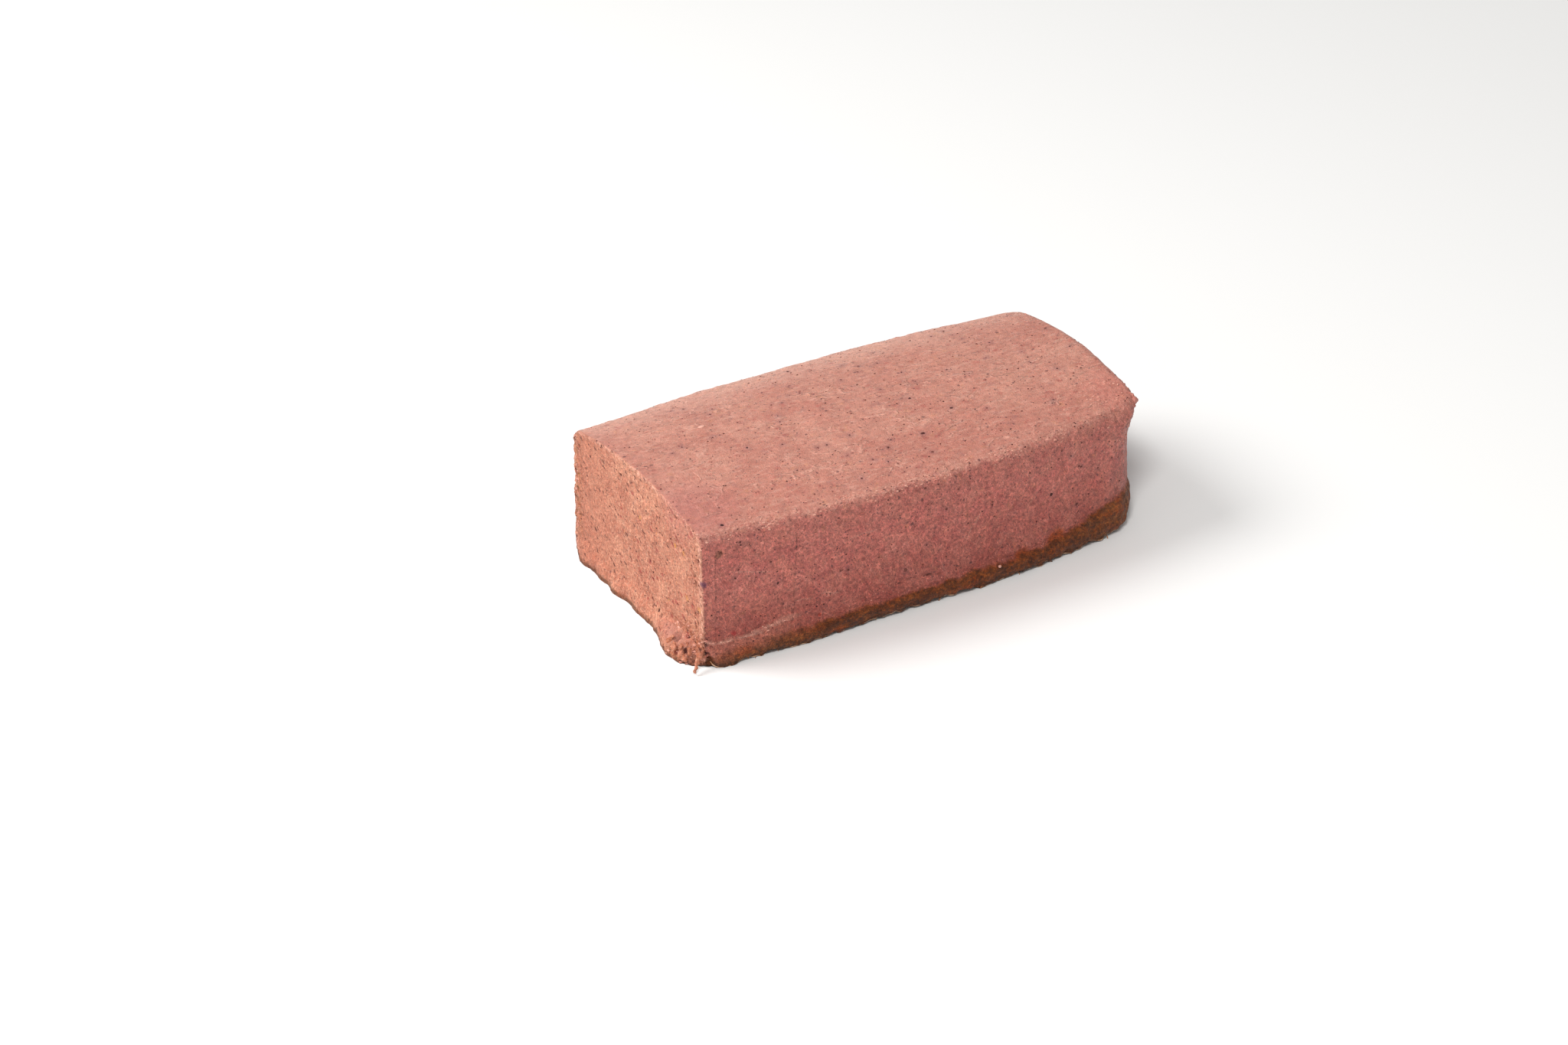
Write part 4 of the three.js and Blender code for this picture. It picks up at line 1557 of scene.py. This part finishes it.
foot_lumps = bmesh.new()
for _ in range(TORN_LUMPS):
    across = NEAR_FOOT[1] + abs(random.normal(0, 9)) + 0.5
    spot, normal = on_skin(-10, across, random.uniform(1.5, 15))
    size = random.uniform(0.5, 1.5)
    add_lump(foot_lumps, spot, normal, (size * 1.2, size * 0.8, size * 0.6), sink=0.45)
for number in range(SHRED_LUMPS):
    share = number / (SHRED_LUMPS - 1)
    along, across, high = (lerp(a, b, share) for a, b in zip(SHRED_ROOT, SHRED_TIP))
    spot = Vector((
        (along - CUT_FROM_MIDDLE + random.normal(0, 0.3)) / PER_METRE,
        (across + random.normal(0, 0.3)) / PER_METRE,
        high / PER_METRE,
    ))
    size = lerp(2.3, 0.6, share ** 0.8) * random.uniform(0.8, 1.2)
    add_lump(foot_lumps, spot, Vector((0, -1, 0)), (size, size * 0.8, size * 0.8))
torn_mesh = fused("torn_foot", foot_lumps, TORN_VOXEL)
print("torn foot:", len(torn_mesh.vertices), "points")

# %% Crumbs of the far shoulder, and its spur
SHOULDER_LUMPS = 40
SHOULDER_HEAPS = ((242, -42, 69, 5), (244, -30, 66, 5), (226, -55, 66, 6))
HEAP_LUMPS = 9
SHOULDER_VOXEL = 0.0005
SPUR_PLACE = (LENGTH - 4, -49, 65)
SPUR_WAY = Vector((0.9, -0.35, 0.0)).normalized()
SPUR_REACH = 0.0019
SPUR_LUMPS = 5

shoulder = bmesh.new()
for _ in range(SHOULDER_LUMPS):
    across = 60 * (random.uniform(0, 1) ** 1.5 * 1.7 - 1)
    high = 62 - 6 * random.uniform(0, 1) ** 2 + random.uniform(-2, 3)
    spot, normal = on_skin(LENGTH + 5, across, high)
    size = random.uniform(0.5, 1.3) * (0.8 if across < -25 else 0.55)
    add_lump(shoulder, spot, normal, (size * 1.3, size, size * 0.6), sink=0.5)
for along, across, high, spread in SHOULDER_HEAPS:
    for _ in range(HEAP_LUMPS):
        place = (along + random.normal(0, spread), across + random.normal(0, spread), high)
        spot, normal = on_skin(*place)
        size = random.uniform(0.4, 1.1)
        add_lump(shoulder, spot, normal, (size * 1.3, size, size * 0.5), sink=0.5)
for number in range(SPUR_LUMPS):
    share = number / (SPUR_LUMPS - 1)
    spot, normal = on_skin(*SPUR_PLACE)
    spot = spot + SPUR_WAY * (share * SPUR_REACH)
    size = lerp(2.4, 0.9, share)
    add_lump(shoulder, spot, normal, (size, size * 0.8, size * 0.8))
shoulder_mesh = fused("shoulder_crumbs", shoulder, SHOULDER_VOXEL)
print("far shoulder:", len(shoulder_mesh.vertices), "points")

# %% Pale bits of fat and one fibre, bent like a hair
FAT_PALE = screen(216, 162, 144)
FAT_BITS = ((46.5, 21.5, 80, 1.5), (158.8, -75, 14.8, 0.9), (62, -40, 80, 0.6))
FIBRE_ALONG = 22.3
FIBRE_ACROSS = (-15.5, -21.6)
FIBRE_LUMPS = 24
FIBRE_LIFT = 0.00012


def fat_finish():
    f = Finish("fat")
    colour = f.mix(f.patches(1.2, 0.4, 0.62, 3), CRUMB_PALE, FAT_PALE)
    return f.finish(colour, 0.4, f.bump(f.noise(f.place, 0.6, 3), 0.0002, 0.6))


bits = bmesh.new()
for along, across, high, size in FAT_BITS:
    spot, normal = on_skin(along, across, high)
    add_lump(bits, spot, normal, (size * 1.25, size * 0.9, size * 0.3), sink=0.1)
for number in range(FIBRE_LUMPS):
    share = number / (FIBRE_LUMPS - 1)
    along = FIBRE_ALONG + 0.4 * math.sin(share * 3.1)
    spot, normal = on_skin(along, lerp(*FIBRE_ACROSS, share), 80)
    add_lump(bits, spot + normal * FIBRE_LIFT, normal, (0.26, 0.26, 0.2), 1)
pale_bits = finished("pale_bits", mesh_of("pale_bits", bits), fat_finish())

# %% Torn foot and far shoulder as pieces
everywhere = np.ones(len(torn_mesh.vertices))
for name in ("cut", "torn"):  # the torn foot shows the dry inside of the paste
    store_mask(torn_mesh, name, everywhere)
torn_foot = finished("torn_foot", torn_mesh, paste)
shoulder_crumbs = finished("shoulder_crumbs", shoulder_mesh, paste)

# %% [markdown]
# ## Edge of the crust
#
# A thin film of set fat and jelly runs along the crust's lower edge and round the foot of
# the far end, and small dry shreds stick out of it. Both follow one path through points
# of the skin itself, so Geometry Nodes resample that path, sweep a wavy bead along it and
# set shreds at random. Drawing the path by hand would leave it in the air or in the crust.

# %% Finishes of the crust's edge
FILM_TAN = screen(196, 156, 126)
SHRED_TAN = screen(178, 122, 82)


def film_finish():
    f = Finish("crust film")
    colour = f.mix(f.patches(3.5, 0.3, 0.54, 3), CRUST_TAN, FILM_TAN)
    bump = f.bump(f.noise(f.place, 0.8, 3), 0.0002, 0.5)
    return f.finish(colour, f.blend(f.noise(f.place, 5, 2), 0.15, 0.45), bump)


def shred_finish():
    f = Finish("crust shreds")
    colour = f.mix(f.patches(2.5, 0.35, 0.65, 3), CRUST_BROWN, SHRED_TAN)
    bump = f.bump(f.noise(f.place, 0.6, 3), 0.0002, 0.5)
    return f.finish(colour, 0.5, bump)


film = film_finish()
shred = shred_finish()

# %% Path of the lower edge
EDGE_HEIGHT = 2.6
EDGE_START = 4                # the path begins this many steps from the cut
SIDE_STOP = STEPS_LONG - 12   # where the round foot of the far end begins
END_STEP = STEPS_LONG - 6     # a row of the underside that curls up at the far end
PATH_SINK = 0.0001


def row_height(row):
    """Height of a row of the near side's points, in millimetres."""
    level = np.full(1, row / STEPS_HIGH * 2 - 1)
    return loaf_place(np.zeros(1), np.full(1, -1.0), level)[0, 2]


rows = range(0, STEPS_HIGH // 2, 2)
EDGE_ROW = min(rows, key=lambda row: abs(row_height(row) - EDGE_HEIGHT))
point_at = {tuple(place): number for number, place in enumerate(lattice.tolist())}
ring = [point_at[(step, 0, EDGE_ROW)] for step in range(EDGE_START, SIDE_STOP)]
ring += [point_at[(END_STEP, step, 0)] for step in range(8, STEPS_WIDE - 4, 4)]
ring += [point_at[(step, STEPS_WIDE, EDGE_ROW)] for step in range(SIDE_STOP, EDGE_START - 1, -1)]
edge_points = [body.data.vertices[number] for number in ring]
edge_places = [point.co - point.normal * PATH_SINK for point in edge_points]
edge_mesh = bpy.data.meshes.new("crust_edge")
edge_mesh.from_pydata(edge_places, [(n, n + 1) for n in range(len(ring) - 1)], [])
edge_path = new_object("crust_edge", edge_mesh)
print("edge path of", len(ring), "points at row", EDGE_ROW)


# %% Film tree
def swept(nodes, path, round_radius, sides, scale=1.0):
    """A round bead along a path, closed at both ends."""
    circle = nodes.add("GeometryNodeCurvePrimitiveCircle", Resolution=sides)
    nodes.feed(circle.inputs["Radius"], round_radius)
    bead = nodes.add("GeometryNodeCurveToMesh", Curve=path, Profile_Curve=circle.outputs[0])
    nodes.feed(bead.inputs["Scale"], scale)
    nodes.feed(bead.inputs["Fill Caps"], True)
    return bead.outputs[0]


def even_path(nodes, given, count):
    curve = nodes.add("GeometryNodeMeshToCurve", Mesh=given["Geometry"]).outputs[0]
    return nodes.add("GeometryNodeResampleCurve", Curve=curve, Count=count).outputs[0]


FILM = {"Thickness": 0.28, "Waver": 0.3, "Steps": 620}


def film_tree():
    nodes, given, result = new_geometry_tree("crust film", FILM)
    position = nodes.add("GeometryNodeInputPosition").outputs[0]
    waver = nodes.grown(nodes.shift(position, 260.0, 3.0), nodes.times(given["Waver"], 0.003))
    even = even_path(nodes, given, given["Steps"])
    moved = nodes.add("GeometryNodeSetPosition", Geometry=even, Offset=waver).outputs[0]
    swelling = nodes.step(nodes.noise(position, 0.007, 3), 0.4, 0.62)
    thick = nodes.times(given["Thickness"], MM, nodes.plus(0.15, swelling))
    return painted(nodes, swept(nodes, moved, 1.0, 7, thick), film, result)


crust_film = finished("crust_film", run_tree(edge_path, film_tree(), FILM), film)

# %% Shred tree
SHREDS = {
    "Shreds": 150,
    "Shortest": 0.5,
    "Longest": 1.7,
    "Bend": 1.5,
    "Thickness": 0.16,
    "Size Seed": 5,
    "Turn Seed": 11,
}
ANY_WAY = (3.1, 3.1, 3.1)     # a shred may be turned by as much as this about each axis
ANY_WAY_BACK = (-3.1, -3.1, -3.1)


def shred_tree():
    nodes, given, result = new_geometry_tree("crust shreds", SHREDS)
    settings = {"data_type": "FLOAT_VECTOR"}
    spin = nodes.add("FunctionNodeRandomValue", settings, Seed=given["Turn Seed"])
    nodes.feed(spin.inputs[0], ANY_WAY_BACK)
    nodes.feed(spin.inputs[1], ANY_WAY)
    arc = nodes.add("GeometryNodeCurveArc", Resolution=7)
    nodes.feed(arc.inputs["Radius"], 1.0)
    nodes.feed(arc.inputs["Sweep Angle"], given["Bend"])
    hair = swept(nodes, arc.outputs[0], given["Thickness"], 5)
    rooted = nodes.add("GeometryNodeSetPosition", Geometry=hair, Offset=(-1.0, 0.0, 0.0))
    seed = given["Size Seed"]
    seated = nodes.add(
        "GeometryNodeInstanceOnPoints",
        Points=even_path(nodes, given, given["Shreds"]),
        Instance=rooted.outputs[0],
        Rotation=next(s for s in spin.outputs if s.enabled),
        Scale=random_size(nodes, given["Shortest"], given["Longest"], 2.6, seed),
    )
    return painted(nodes, seated.outputs[0], shred, result)


crust_shreds = finished("crust_shreds", run_tree(edge_path, shred_tree(), SHREDS), shred)
bpy.data.objects.remove(edge_path)
for piece in (specks, large_flecks, crumbs, pale_bits, crust_film, crust_shreds):
    keep_above(piece.data, OFF_FLOOR)

# %% [markdown]
# ## Floor and light
#
# A loaf is judged by its own colour, so it stands on a plain pale floor under soft light.
# One large lamp behind the left shoulder gives the bright cut, the sheen on the top and
# the darker near side. A smaller lamp high in front grazes the near side, so that its
# folds and crumbs show, and the white surroundings fill the rest.

# %% Floor
FLOOR_REACH = 4.0

floor_mesh = bpy.data.meshes.new("floor")
square = ((-1, -1), (1, -1), (1, 1), (-1, 1))
floor_corners = [(FLOOR_REACH * a, FLOOR_REACH * b, 0) for a, b in square]
floor_mesh.from_pydata(floor_corners, [], [(0, 1, 2, 3)])
floor = new_object("floor", floor_mesh)
floor_mesh.materials.append(Finish("pale floor").finish(screen(236, 235, 233), 0.9))
print("floor is", 2 * FLOOR_REACH, "m wide")

# %% Lamps and surroundings
KEY_PLACE = Vector((-1.25, 0.75, 1.45))
KEY_POWER = 33
KEY_SIZE = 1.1
FRONT_PLACE = Vector((-0.75, -0.95, 1.60))
FRONT_POWER = 20
FRONT_SIZE = 0.5
SURROUND = 0.47


def soft_lamp(name, place, power, size):
    """A round lamp that is aimed at the loaf."""
    data = bpy.data.lights.new(name, "AREA")
    data.shape = "DISK"
    data.size = size
    data.energy = power
    aim = place.to_track_quat("Z", "Y").to_matrix().to_4x4()
    new_object(name, data).matrix_world = Matrix.Translation(place) @ aim
    print(name, "lamp of", power, "W")


soft_lamp("key", KEY_PLACE, KEY_POWER, KEY_SIZE)
soft_lamp("front", FRONT_PLACE, FRONT_POWER, FRONT_SIZE)

world = bpy.data.worlds.new("surroundings")
world.use_nodes = True
background = world.node_tree.nodes["Background"]
background.inputs["Color"].default_value = (1, 1, 1, 1)
background.inputs["Strength"].default_value = SURROUND
bpy.context.scene.world = world
bpy.context.scene.view_settings.view_transform = "Standard"

# %% [markdown]
# ## Pieces and their boxes
#
# Every piece rides on the loaf's one body, and the skin stands for the plain solid. The
# two boxes are kept, so that a glance shows that the dressed loaf is no larger than it.

# %% Pieces and sizes
floor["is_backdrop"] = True
for piece, slot in (
    (body, "pate"),
    (specks, "pepper"),
    (large_flecks, "pepper"),
    (crumbs, "fat"),
    (pale_bits, "fat"),
    (torn_foot, "pate"),
    (shoulder_crumbs, "pate"),
    (crust_film, "crust"),
    (crust_shreds, "crust"),
):
    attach(piece, "root")
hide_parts("pate_loaf")

dressed_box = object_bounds()
boxes = {"cad": solid_box, "visual": dressed_box}
plain = {name: [[float(c) for c in end] for end in box] for name, box in boxes.items()}
print(plain)
